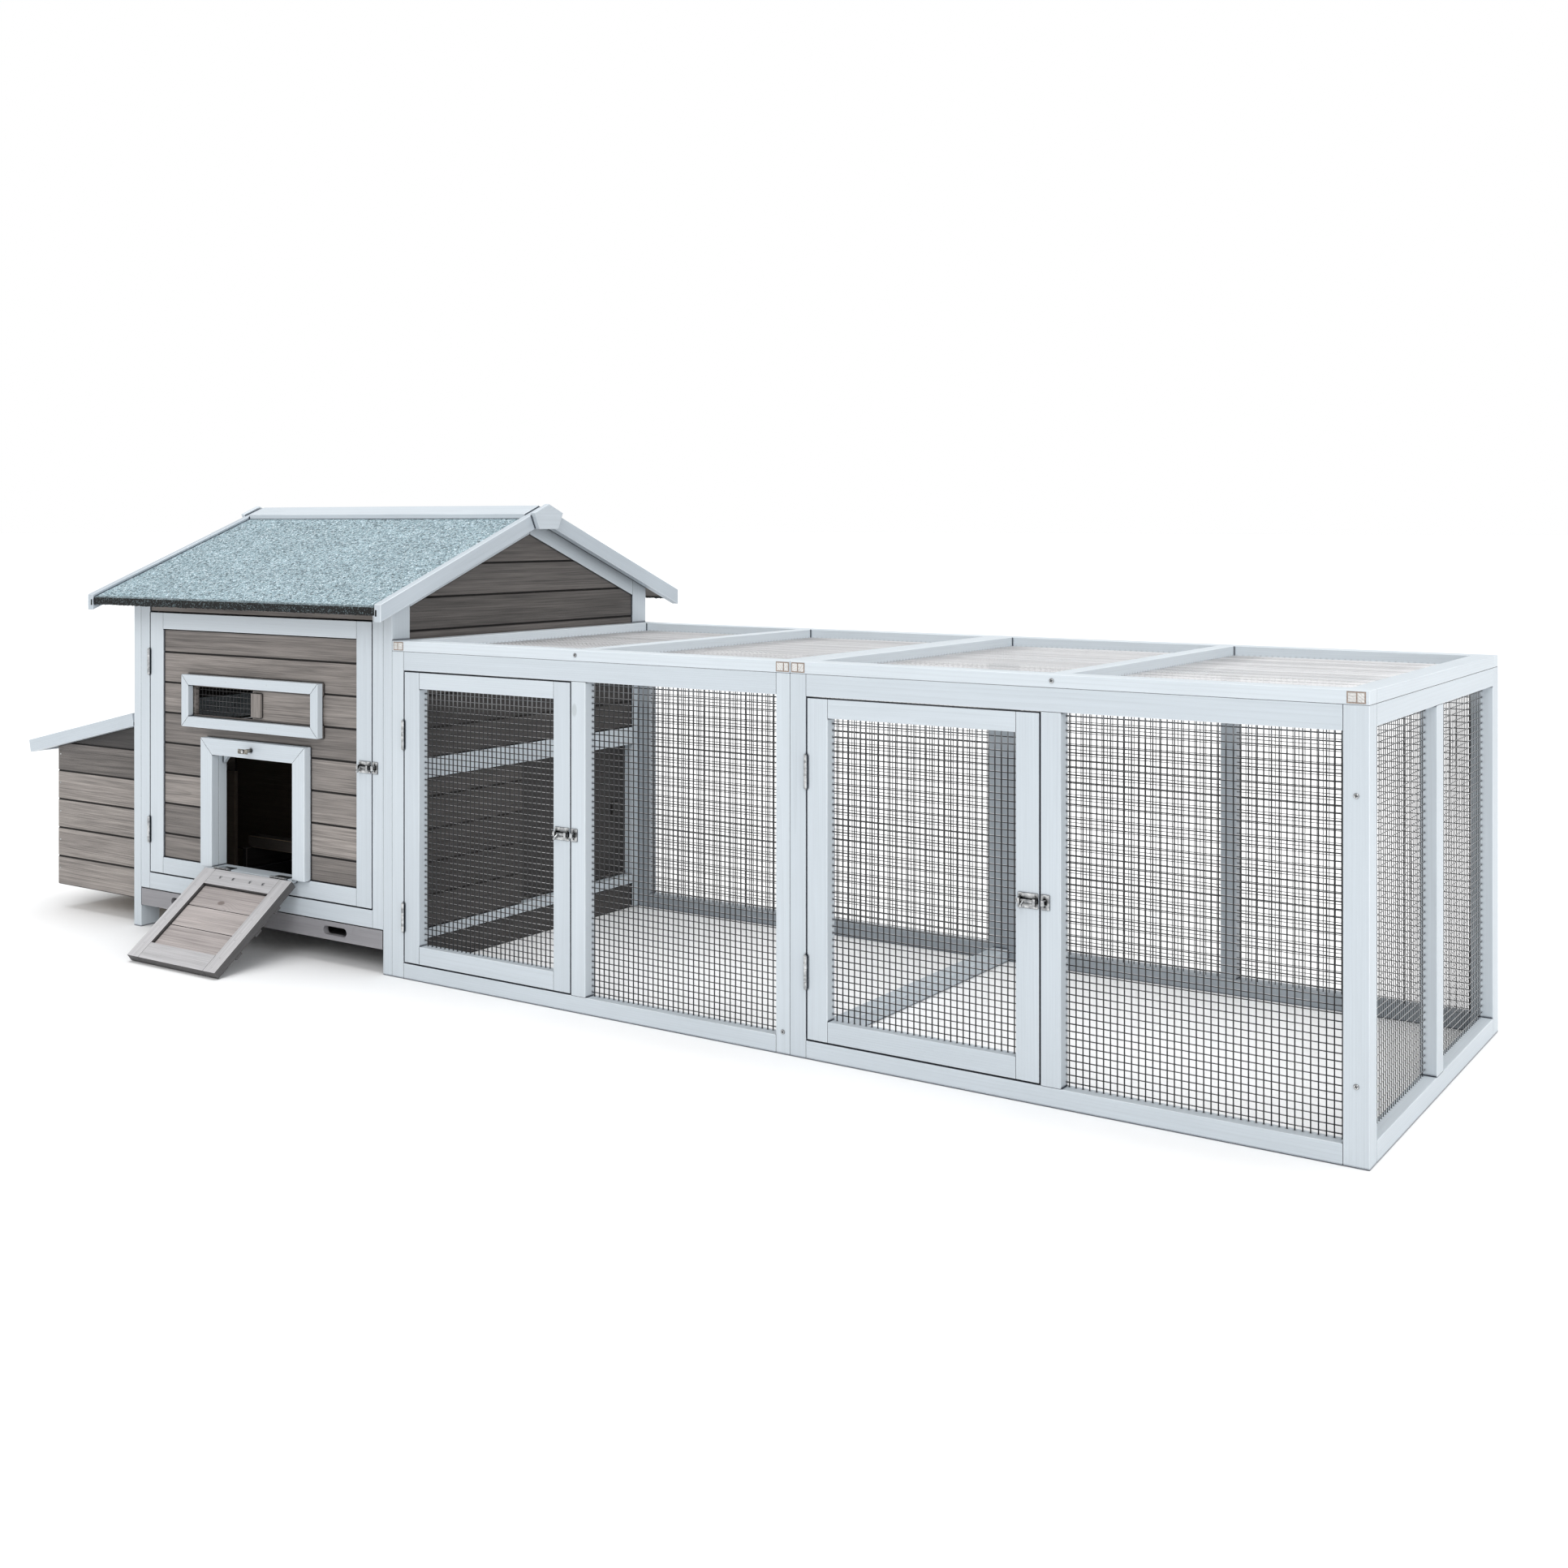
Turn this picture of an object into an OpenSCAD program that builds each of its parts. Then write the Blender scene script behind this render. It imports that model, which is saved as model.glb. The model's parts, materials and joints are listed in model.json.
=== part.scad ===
// Wooden chicken coop: a hen house with a nest box, joined to a long wire-mesh run.
// Millimetres, +Z up. X runs along the length, -Y is the side with the doors.
// Inside the file the front face of the house and run is y = 0 and the wall between
// them is at x = 0; part() moves everything so that the origin is the centre of the base.

/* [House] */
// Length of the house along the run
house_w = 915; // [850:5:980]
// Depth of the house and the run
depth = 915; // [860:5:980]
// Height of the roof covering where its two slopes meet
felt_ridge_z = 1043; // [1030:1:1060]
// Slope of the roof in degrees
roof_pitch = 22; // [20:0.5:23]
// How far the roof stands out in front of and behind the walls
eave = 75; // [60:1:85]
// Thickness of the framing timber of the house
wall_t = 28; // [26:1:30]
// Height of one wall plank
plank_h = 75; // [65:1:80]
// Thickness of the wall planks
plank_t = 12; // [10:1:14]

/* [Nest box] */
// How far the nest box stands out from the house
nest_w = 351; // [300:1:380]
// Slope of the nest box lid in degrees
lid_slope = 12.5; // [10:0.5:14]

/* [Ramp] */
// Width of the ramp that closes the pop hole
ramp_w = 308; // [300:1:316]
// Length of the ramp
ramp_l = 275; // [272:1:285]
// Thickness of the ramp
ramp_t = 20; // [18:1:22]

/* [Run] */
// Length of the first run section
bay_1 = 1065; // [1040:1:1100]
// Length of the second run section
bay_2 = 1085; // [1060:1:1120]
// Height of the run with its roof frames
run_h = 750; // [720:1:780]
// Thickness of the run's frames
frame_t = 30; // [28:1:32]
// Width of a run door
run_door_w = 480; // [450:1:490]
// Width of the timber across the run's roof
roof_bar_w = 34; // [30:1:40]
// Thickness of the sheet that stands for welded wire mesh
mesh_t = 0.7; // [0.6:0.1:1]

/* [Hardware] */
// Radius of a hinge's barrel
barrel_r = 3.5; // [3.2:0.1:3.8]
// Radius of a hinge's pin
pin_r = 1.5; // [1.3:0.1:1.7]
// Length of a door hinge
hinge_l = 62; // [50:1:70]
// Radius of a barrel bolt's rod
bolt_r = 3; // [2.5:0.1:3.2]

/* [Hidden] */
$fn = 32;

white = "gainsboro";
grey_wood = "rosybrown";
pale_wood = "tan";
metal = "silver";

// Hairline gap in a joint between two pieces of wood
joint = 0.1;

// House: walls
ridge_y = depth / 2;
slope_top = ridge_y - joint;
side_stile_w = 55;
front_stile_w = 34;
side_low_rail = [64, 86];
right_mid_rail = [430, 475];
left_mid_rail = [500, 560];
front_bottom_rail = [100, 140];
rafter_h = 41;
plank_recess = 4;
plank_base = 18;
plank_chamfer = 2.5;
top_board_z = 793;
side_planks_end = 432;

// House: roof
deck_t = 12;
felt_t = 3;
barge_w = 36;
barge_t = 20;
barge_rise = 8;
barge_past_eave = 5;
roof_past_run_wall = 48;
roof_past_nest_wall = 75;
ridge_board_w = 51;
ridge_board_t = 12;
end_block_t = 14;
end_block_rise = 16;
end_block_shoulder = [52, 22];
end_block_foot = [34, 61];
roof_x = [-house_w - roof_past_nest_wall, roof_past_run_wall];

// House: pull-out tray
tray_z = [56, 98];
tray_front_t = 15;
tray_panel_t = 5;
tray_side_t = 12;
tray_side_gap = 17;
slot_l = 77;
slot_w = 20;
slot_from_middle = 273;
runner_w = 25;
running_gap = 0.4;

// House: side door and perches
side_panel_x = [-38, -30];
side_panel_z = [95, 439];
side_panel_overlap = 8;
side_knob_proud = 10;
side_knob_w = 25;
side_knob_in = 35;
side_knob_z = [250, 280];
track_x = [-46, -wall_t];
groove_depth = 20;
perch_y = [350, 600];
perch_z = [150, 180];
perch_w = 34;
holder_t = 15;

// Nest box
nest_x = [-house_w - nest_w, -house_w];
nest_y = [25, depth - 25];
nest_wall_t = 12;
nest_bottom = 61;
nest_floor_t = 9;
nest_count = 3;
divider_t = 10;
divider_top = 350;
lid_clearance = 0.6;
lid_board_t = 12;
lid_batten_h = 18;
lid_batten_w = 22;
lid_board_y = [lid_batten_w + joint, depth - lid_batten_w - joint];
lid_hinge_x = -house_w - 4.2;
lid_hinge_z = 537;
lid_top = -2.4;
lid_past_nest = 94;
lid_start = 6;
lid_l = (nest_w + lid_past_nest - 4.2) / cos(lid_slope);
lid_hinge_y = [180, depth - 180];

// Front door
door_gap = 3;
door_x = [-house_w + wall_t + front_stile_w + door_gap, -wall_t - front_stile_w - door_gap];
door_z = [front_bottom_rail[1] + door_gap, top_board_z - door_gap];
door_t = 26;
door_stile_w = 49;
door_rail_h = 40;
door_plank_y = 5;
door_hinge_z = [248, 667];
front_bolt_z = 461;

// Window in the front door
window_x = [-710, -225];
window_z = [516, 643];
window_member = 25;
trim_t = 16;
window_hole_x = [-685, -472];
window_hole_z = [543, 618];
shutter_x = [-467, -232];
handle_x = [-464, -432];
handle_proud = 8;

// Pop hole in the front door, and its ramp
pop_x = [-596, -311];
pop_z = [184, 454];
pop_member = 42;
pop_head = 39;
lining_t = 10;
pop_plank_top = 468;
threshold_t = 8;
ramp_hinge_y = -20;
ramp_hinge_z = 184;
ramp_start = 5.2;
ramp_face = 3.5;
ramp_foot_z = 1;
ramp_reach = ramp_start + ramp_l;
ramp_radius = norm([ramp_t - ramp_face, ramp_reach]);
ramp_turn = acos((ramp_foot_z - ramp_hinge_z) / ramp_radius) - atan2(ramp_t - ramp_face, ramp_reach);
ramp_stile_w = 40;
ramp_rail_w = 45;
ramp_plank_inset = 8;
ramp_mid_x = (pop_x[0] + pop_x[1]) / 2;
ramp_leaf_l = 50;
button_z = 474;
button_y = -41;

// Run
run_x = [0, bay_1 + bay_2];
seam_x = bay_1;
run_top = run_h - 23;
run_bottom_rail = 35;
run_top_rail = 42;
run_stile_w = 36;
run_end_stile_w = 32;
corner_w = 42;
corner_d = 41;
door_post_w = 38;
run_door_stile_w = 45;
run_door_rails = [39, 36];
run_door_z = [run_bottom_rail + door_gap, run_top - run_top_rail - door_gap];
run_doors = [run_stile_w + door_gap, seam_x + run_stile_w + door_gap];
run_hinge_z = [[137, 542], [165, 543]];
run_bolt_z = [367, 354];
mesh_y = 22;
roof_mesh_z = run_top + 2;

// Hinges and barrel bolts
knuckles = 5;
leaf_t = 1.2;
leaf_depth = 20;
wall_leaf_w = 22;
lid_leaf_w = 32;
pin_clearance = 0.05;
knuckle_gap = 0.2;
pin_head_t = 1.5;
barrel_y = -barrel_r - 0.3;
bolt_y = -6;
bolt_reach = 36;
bolt_plate_h = 26;
bolt_play = 0.3;
strap_t = 2;
knob_x = -28;
knob_turn = 125;
knob_l = 15;
knob_r = 3.4;

// The threshold lies under the fixed leaves of the ramp's hinges
threshold_z = [pop_z[0] - leaf_t / 2 - threshold_t, pop_z[0] - leaf_t / 2];

// The whole coop's own box, for the origin
lid_end_x = lid_hinge_x - lid_l * cos(lid_slope);
ramp_end_y = ramp_hinge_y + ramp_face * cos(ramp_turn) - ramp_reach * sin(ramp_turn);
middle_x = (lid_end_x + run_x[1]) / 2;
middle_y = (ramp_end_y + depth + eave + barge_past_eave) / 2;

// ---------- Helpers ----------

// Colours a piece and moves it so that the origin is the middle of the base
module part(colour) {
    color(colour) translate([-middle_x, -middle_y, 0]) children();
}

// A box from its low and high values along each axis
module block(x, y, z) {
    translate([x[0], y[0], z[0]]) cube([x[1] - x[0], y[1] - y[0], z[1] - z[0]]);
}

// A piece of wood with a hairline joint at both ends along one axis (0, 1 or 2)
module timber(axis, x, y, z) {
    g = [for (i = [0 : 2]) i == axis ? joint : 0];
    block([x[0] + g[0], x[1] - g[0]], [y[0] + g[1], y[1] - g[1]], [z[0] + g[2], z[1] - g[2]]);
}

// An outline in y and z, made solid along x
module along_x(x) {
    translate([x[0], 0, 0]) rotate([90, 0, 90]) linear_extrude(x[1] - x[0]) children();
}

// An outline in x and z, made solid along y
module along_y(y) {
    translate([0, y[1], 0]) rotate([90, 0, 0]) linear_extrude(y[1] - y[0]) children();
}

// A cylinder along x
module rod_x(x, r) {
    translate([x[0], 0, 0]) rotate([0, 90, 0]) cylinder(h = x[1] - x[0], r = r);
}

// A copy on both slopes of the roof
module both_slopes() {
    children();
    translate([0, depth, 0]) mirror([0, 1, 0]) children();
}

// Height of the roof covering, and of the underside of the decks, at a place across the house
function felt_z(y) = felt_ridge_z - abs(y - ridge_y) * tan(roof_pitch);
function under_z(y) = felt_z(y) - (deck_t + felt_t) / cos(roof_pitch);

// Low and high edges of the planks between two heights
function plank_rows(z, base) = [
    for (i = [0 : ceil((z[1] - base) / plank_h)])
        let (low = max(z[0], base + i * plank_h), high = min(z[1], base + (i + 1) * plank_h))
        if (high > low) [low, high]
];

// The same from a base, with a last row that takes in a narrow remainder
function joined_rows(base, top) =
    let (last = floor((top - base - 20) / plank_h))
    [for (i = [0 : last]) [base + i * plank_h, i == last ? top : base + (i + 1) * plank_h]];

// Section of a plank: its face is at 0 and its body runs towards direction
module plank_section(z, face, direction) {
    c = plank_chamfer;
    low = z[0] + joint;
    high = z[1] - joint;
    polygon([for (p = [[0, low + c], [c, low], [plank_t, low], [plank_t, high], [c, high], [0, high - c]])
        [face + direction * p[0], p[1]]]);
}

// Strip of a slope, between two depths below the covering's surface
module roof_strip(x, y, depths) {
    along_x(x) polygon([
        for (k = [[0, 0], [1, 0], [1, 1], [0, 1]])
            [y[k[0]], felt_z(y[k[0]]) - depths[k[1]] / cos(roof_pitch)]
    ]);
}

// Rails between two uprights at the sides and two rails: a butted frame in the x, z plane
module butted_frame(x, y, z, stile, bottom, top) {
    block([x[0], x[0] + stile], y, z);
    block([x[1] - stile, x[1]], y, z);
    timber(0, [x[0] + stile, x[1] - stile], y, [z[0], z[0] + bottom]);
    timber(0, [x[0] + stile, x[1] - stile], y, [z[1] - top, z[1]]);
}

// Four mitred members round an opening, facing -y
module mitred_frame(x, y, z, w) {
    for (side = [0, 1]) {
        s = side == 0 ? 1 : -1;
        along_y(y) polygon([
            [x[side], z[0]], [x[side], z[1]], [x[side] + s * w, z[1] - w], [x[side] + s * w, z[0] + w]
        ]);
        along_y(y) polygon([
            [x[0] + joint, z[side]], [x[1] - joint, z[side]],
            [x[1] - w - joint, z[side] + s * w], [x[0] + w + joint, z[side] + s * w]
        ]);
    }
}

// ---------- House walls ----------

// Uprights, two rails and rafters of a gable wall
module side_frame(x, rails) {
    both_slopes() {
        along_x(x) polygon([
            [0, 0], [side_stile_w, 0], [side_stile_w, under_z(side_stile_w)], [0, under_z(0)]
        ]);
        along_x(x) polygon([
            for (y = [side_stile_w + joint, slope_top]) [y, under_z(y)],
            for (y = [slope_top, side_stile_w + joint]) [y, under_z(y) - rafter_h]
        ]);
    }
    for (rail = rails) {
        timber(1, x, [side_stile_w, depth - side_stile_w], rail);
    }
}

// Planks that fill a gable from a height up to the rafters
module gable_planks(face, direction, bottom) {
    inner = [side_stile_w, depth - side_stile_w];
    for (row = plank_rows([bottom, under_z(ridge_y) - rafter_h], plank_base)) {
        intersection() {
            along_y(inner) plank_section(row, face, direction);
            along_x([min(face, face + direction * plank_t), max(face, face + direction * plank_t)]) polygon([
                [inner[0], bottom], [inner[1], bottom], [inner[1], under_z(inner[1]) - rafter_h],
                [ridge_y, under_z(ridge_y) - rafter_h], [inner[0], under_z(inner[0]) - rafter_h]
            ]);
        }
    }
}

module right_side_frame() {
    part(white) side_frame([-wall_t, 0], [side_low_rail, right_mid_rail]);
}

module right_side_planks() {
    part(grey_wood) {
        face = -plank_recess;
        gable_planks(face, -1, right_mid_rail[1]);
        for (row = plank_rows([side_low_rail[1], right_mid_rail[0]], side_low_rail[1])) {
            along_y([side_stile_w, side_planks_end]) plank_section(row, face, -1);
        }
        along_y([side_stile_w, depth - side_stile_w]) plank_section([0, side_low_rail[0]], face, -1);
    }
}

module left_side_frame() {
    part(white) side_frame([-house_w, -house_w + wall_t], [side_low_rail, left_mid_rail]);
}

module left_side_planks() {
    part(grey_wood) gable_planks(-house_w + plank_recess, 1, left_mid_rail[1]);
}

// Uprights and a bottom rail between the side frames
module cross_frame(y) {
    top = under_z(0) - 0.5;
    for (x = [-house_w + wall_t, -wall_t - front_stile_w]) {
        block([x, x + front_stile_w], y, [front_bottom_rail[0], top]);
    }
    timber(0, [-house_w + wall_t + front_stile_w, -wall_t - front_stile_w], y, front_bottom_rail);
}

module front_frame() {
    part(white) cross_frame([0, wall_t]);
}

module front_top_board() {
    part(grey_wood) block(
        [-house_w + wall_t + front_stile_w, -wall_t - front_stile_w], [4, 18], [top_board_z, under_z(4) - 2]
    );
}

module back_frame() {
    part(white) {
        cross_frame([depth - wall_t, depth]);
        middle = -house_w / 2;
        timber(2, [middle - front_stile_w / 2, middle + front_stile_w / 2],
            [depth - wall_t, depth - plank_recess - plank_t], [front_bottom_rail[1], under_z(0)]);
    }
}

module back_planks() {
    part(grey_wood) {
        for (row = plank_rows([front_bottom_rail[1], under_z(0) - 0.5], plank_base)) {
            along_x([-house_w + wall_t + front_stile_w, -wall_t - front_stile_w])
                plank_section(row, depth - plank_recess, -1);
        }
    }
}

// ---------- House roof ----------

module roof_decks() {
    part(pale_wood) both_slopes()
        roof_strip([roof_x[0] + barge_t, roof_x[1] - barge_t], [-eave, slope_top], [felt_t, felt_t + deck_t]);
}

module roof_felt() {
    part("cadetblue") both_slopes()
        roof_strip([roof_x[0] + barge_t, roof_x[1] - barge_t], [-eave, slope_top], [0, felt_t]);
}

module barge_boards() {
    part(white) both_slopes() {
        for (x = [roof_x[0], roof_x[1] - barge_t]) {
            roof_strip([x, x + barge_t], [-eave - barge_past_eave, slope_top],
                [-barge_rise, barge_w - barge_rise]);
        }
    }
}

module ridge_boards() {
    part(white) both_slopes()
        roof_strip([roof_x[0] + barge_t, roof_x[1] - barge_t], [ridge_y - ridge_board_w, slope_top],
            [-ridge_board_t, -joint / 2]);
}

module ridge_end_blocks() {
    part(white) {
        shoulder = end_block_shoulder;
        foot = end_block_foot;
        for (x = [roof_x[0] - end_block_t, roof_x[1]]) {
            along_x([x, x + end_block_t]) translate([ridge_y, felt_ridge_z + end_block_rise]) polygon([
                [0, 0], [-shoulder[0], -shoulder[1]], [-foot[0], -foot[1]],
                [foot[0], -foot[1]], [shoulder[0], -shoulder[1]]
            ]);
        }
    }
}

// ---------- Inside the house ----------

module tray_front() {
    part(grey_wood) {
        middle = -house_w / 2;
        difference() {
            block([-house_w + wall_t + 2, -wall_t - 2], [0, tray_front_t], tray_z);
            for (side = [-1, 1]) {
                x = middle + side * slot_from_middle;
                slot_z = (tray_z[0] + tray_z[1]) / 2;
                half = (slot_l - slot_w) / 2;
                block([x - half, x + half], [-1, tray_front_t + 1],
                    [slot_z - slot_w / 2, slot_z + slot_w / 2]);
                for (end = [-half, half]) {
                    translate([x + end, tray_front_t + 1, slot_z])
                        rotate([90, 0, 0]) cylinder(h = tray_front_t + 2, d = slot_w);
                }
            }
        }
    }
}

tray_x = [-house_w + wall_t + tray_side_gap, -wall_t - tray_side_gap - 7];
tray_y = [tray_front_t, depth - wall_t - 12];

module tray_box() {
    part(grey_wood) {
        bottom = [tray_z[0] + 4, tray_z[0] + 4 + tray_panel_t];
        block(tray_x, tray_y, bottom);
        for (x = [tray_x[0], tray_x[1] - tray_side_t]) {
            block([x, x + tray_side_t], tray_y, [bottom[1] + joint, tray_z[1]]);
        }
        timber(0, [tray_x[0] + tray_side_t, tray_x[1] - tray_side_t], [tray_y[1] - tray_side_t, tray_y[1]],
            [bottom[1] + joint, tray_z[1]]);
    }
}

module tray_runners() {
    part(pale_wood) {
        z = [40, tray_z[0] + 4 - running_gap];
        for (x = [-house_w + wall_t, -wall_t - runner_w]) {
            block([x, x + runner_w], [side_stile_w - 5, depth - side_stile_w + 5], z);
        }
    }
}

module perches() {
    part(pale_wood) {
        for (y = perch_y) {
            block([-house_w + wall_t + 1, track_x[0] - 1], [y - perch_w / 2, y + perch_w / 2], perch_z);
        }
    }
}

// Boards that carry the perches: one on the left wall's low rail, one on the side door's track
module perch_holders() {
    part(grey_wood) {
        y = [perch_y[0] - perch_w, perch_y[1] + perch_w];
        block([-house_w + wall_t, -house_w + wall_t + holder_t], y, [side_low_rail[0] + 2, perch_z[0]]);
        block([track_x[0] - holder_t, track_x[0]], y, [tray_z[1] + 2, perch_z[0]]);
    }
}

side_opening_y = [side_planks_end, depth - side_stile_w];

module side_door_panel() {
    part(grey_wood) {
        y = [side_opening_y[0] - side_panel_overlap, side_opening_y[1] + side_panel_overlap];
        block(side_panel_x, y, side_panel_z);
        block([side_panel_x[1] + joint, side_panel_x[1] + side_knob_proud],
            [y[1] - side_knob_in - side_knob_w, y[1] - side_knob_in], side_knob_z);
    }
}

module side_door_tracks() {
    part(grey_wood) {
        y = [side_stile_w - 5, depth - side_stile_w + 5];
        groove_x = [side_panel_x[0] - running_gap, side_panel_x[1] + running_gap];
        low = [side_low_rail[1] - 2, side_panel_z[0] - running_gap];
        high = [side_panel_z[1] + running_gap, side_panel_z[1] + 10];
        block(track_x, y, low);
        block(track_x, y, high);
        timber(2, [track_x[0], groove_x[0]], y, [low[1], low[1] + groove_depth]);
        timber(2, [track_x[0], groove_x[0]], y, [high[0] - groove_depth, high[0]]);
    }
}

// ---------- Nest box ----------

// Moves a shape from the lid's own frame: the hinge pin is at its origin and the lid runs to -x
module on_lid() {
    translate([lid_hinge_x, 0, lid_hinge_z]) rotate([0, -lid_slope, 0]) children();
}

// Height of the underside of the lid's board above a place along the nest box
function lid_under_z(x) = lid_hinge_z + (lid_top - felt_t - lid_board_t - lid_clearance) / cos(lid_slope)
    + (x - lid_hinge_x) * tan(lid_slope);

module nest_walls() {
    part(grey_wood) {
        for (side = [0, 1]) {
            y = side == 0 ? [nest_y[0], nest_y[0] + nest_wall_t] : [nest_y[1] - nest_wall_t, nest_y[1]];
            face = nest_y[side];
            direction = side == 0 ? 1 : -1;
            for (row = joined_rows(nest_bottom, lid_under_z(nest_x[1]))) {
                intersection() {
                    along_x(nest_x) plank_section(row, face, direction);
                    along_y(y) polygon([
                        [nest_x[0], nest_bottom], [nest_x[1], nest_bottom],
                        [nest_x[1], lid_under_z(nest_x[1])], [nest_x[0], lid_under_z(nest_x[0])]
                    ]);
                }
            }
        }
        for (row = joined_rows(nest_bottom, lid_under_z(nest_x[0]))) {
            along_y([nest_y[0] + nest_wall_t + joint, nest_y[1] - nest_wall_t - joint])
                plank_section(row, nest_x[0], 1);
        }
    }
}

module nest_floor() {
    part(pale_wood) block([nest_x[0] + nest_wall_t, nest_x[1]],
        [nest_y[0] + nest_wall_t, nest_y[1] - nest_wall_t], [nest_bottom, nest_bottom + nest_floor_t]);
}

module nest_dividers() {
    part(pale_wood) {
        inside = nest_y[1] - nest_y[0] - 2 * nest_wall_t;
        for (i = [1 : nest_count - 1]) {
            y = nest_y[0] + nest_wall_t + i * inside / nest_count;
            block([nest_x[0] + nest_wall_t, nest_x[1]], [y - divider_t / 2, y + divider_t / 2],
                [nest_bottom + nest_floor_t, divider_top]);
        }
    }
}

module nest_lid() {
    part(white) on_lid() {
        board = [lid_top - felt_t - lid_board_t, lid_top - felt_t];
        low = board[0] - lid_batten_h;
        block([-lid_l, -lid_start], lid_board_y, board);
        block([-lid_l, -lid_l + lid_batten_w], lid_board_y, [low, board[0] - joint]);
        for (y = [0, depth - lid_batten_w]) {
            block([-lid_l, -lid_start], [y, y + lid_batten_w], [low, lid_top]);
        }
    }
}
module nest_lid_felt() {
    part("cadetblue") on_lid() block([-lid_l, -lid_start], lid_board_y, [lid_top - felt_t, lid_top]);
}

// ---------- Hinges ----------

// Where one knuckle of a hinge starts and ends along its axis
function knuckle_span(length, i) =
    let (step = length / knuckles) [i * step + knuckle_gap, (i + 1) * step - knuckle_gap];

// Where a hinge's plates start and end along its axis
function leaf_span(length) = [knuckle_gap, length - knuckle_gap];

// Knuckles of one leaf along +z from the origin, round an axis at x = y = 0
module barrel(length, first) {
    for (i = [first : 2 : knuckles - 1]) {
        span = knuckle_span(length, i);
        translate([0, 0, span[0]]) difference() {
            cylinder(h = span[1] - span[0], r = barrel_r);
            translate([0, 0, -1]) cylinder(h = span[1] - span[0] + 2, r = pin_r + pin_clearance);
        }
    }
}

// Pin with a head below and above the barrel
module pin(length) {
    cylinder(h = length, r = pin_r);
    for (z = [-pin_head_t, length]) {
        translate([0, 0, z]) cylinder(h = pin_head_t, r = barrel_r - 0.5);
    }
}

// Leaf in the gap beside a door: a plate with a tongue to each of its knuckles
module gap_leaf(side, first) {
    x = side > 0 ? [0.3, 0.3 + leaf_t] : [-0.3 - leaf_t, -0.3];
    union() {
        barrel(hinge_l, first);
        block(x, [barrel_r + 0.3, barrel_r + leaf_depth], leaf_span(hinge_l));
        for (i = [first : 2 : knuckles - 1]) {
            block(x, [pin_r + 1, barrel_r + 0.4], knuckle_span(hinge_l, i));
        }
    }
}

// Puts a hinge's own frame in the gap at the left of a door, its middle at height z
module in_gap(left_x, z) {
    translate([left_x - door_gap / 2, barrel_y, z - hinge_l / 2]) children();
}

// Puts a lid hinge's own frame at the lid's axis, its barrel along y
module at_lid_hinge(y) {
    translate([lid_hinge_x, y + hinge_l / 2, lid_hinge_z]) rotate([90, 0, 0]) children();
}

module fixed_hinge_leaves() {
    part(metal) {
        for (z = door_hinge_z) {
            in_gap(door_x[0], z) gap_leaf(-1, 0);
            in_gap(door_x[0], z) pin(hinge_l);
        }
        for (i = [0, 1]) {
            for (z = run_hinge_z[i]) {
                in_gap(run_doors[i], z) gap_leaf(-1, 0);
                in_gap(run_doors[i], z) pin(hinge_l);
            }
        }
        for (y = lid_hinge_y) {
            at_lid_hinge(y) wall_leaf();
            at_lid_hinge(y) pin(hinge_l);
        }
    }
}

// Leaf of a lid hinge that stands against the wall above the barrel
module wall_leaf() {
    wall = -house_w - lid_hinge_x;
    union() {
        barrel(hinge_l, 0);
        for (i = [0 : 2 : knuckles - 1]) {
            block([0, wall], [pin_r + 0.8, pin_r + 0.8 + leaf_t], knuckle_span(hinge_l, i));
        }
        block([wall - leaf_t, wall], [barrel_r - 1.2, wall_leaf_w], leaf_span(hinge_l));
    }
}

// Leaf of a lid hinge that lies on the felt
module nest_lid_hinge_leaves() {
    part(metal) {
        for (y = lid_hinge_y) {
            at_lid_hinge(y) rotate([0, 0, lid_slope]) lid_leaf();
        }
    }
}

module lid_leaf() {
    z = [lid_top, lid_top + leaf_t];
    union() {
        barrel(hinge_l, 1);
        for (i = [1 : 2 : knuckles - 1]) {
            block([-barrel_r - 3, -pin_r - 1], z, knuckle_span(hinge_l, i));
        }
        block([-lid_leaf_w, -barrel_r - 2], z, leaf_span(hinge_l));
    }
}

// ---------- Barrel bolts ----------

// A stamped strap round the rod: two sides and a front, from x[0] to x[1]
module strap(x) {
    inner = bolt_r + bolt_play;
    outer = bolt_r + strap_t;
    difference() {
        block(x, [bolt_y - outer, -leaf_t / 2], [-outer, outer]);
        block([x[0] - 1, x[1] + 1], [bolt_y - inner, bolt_y + inner], [-inner, inner]);
    }
}

// Plate and two straps at the free edge of a door, which is at the origin
module bolt_case() {
    union() {
        block([-bolt_reach - 4, -2], [-leaf_t, 0], [-bolt_plate_h / 2, bolt_plate_h / 2]);
        strap([-bolt_reach - 2, -bolt_reach + 3]);
        strap([-8, -3]);
    }
}

// Rod with a turned-down knob, withdrawn so that its tip stays short of the gap
module bolt_rod() {
    translate([0, bolt_y, 0]) union() {
        rod_x([-bolt_reach - 5, -1.5], bolt_r);
        translate([knob_x, 0, 0]) rotate([knob_turn, 0, 0]) {
            cylinder(h = knob_l, r = 2.2);
            translate([0, 0, knob_l - 1]) sphere(r = knob_r);
        }
    }
}

module keeper() {
    union() {
        block([4, 20], [-leaf_t, 0], [-bolt_plate_h / 2, bolt_plate_h / 2]);
        strap([8, 14]);
    }
}

// Puts a bolt's own frame at the free edge of a door
module at_bolt(edge_x, z) {
    translate([edge_x, 0, z]) children();
}

module bolt_keepers() {
    part(metal) {
        at_bolt(door_x[1], front_bolt_z) keeper();
        for (i = [0, 1]) {
            at_bolt(run_doors[i] + run_door_w, run_bolt_z[i]) keeper();
        }
    }
}

module front_bolt_rod() {
    part(metal) at_bolt(door_x[1], front_bolt_z) bolt_rod();
}

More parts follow.
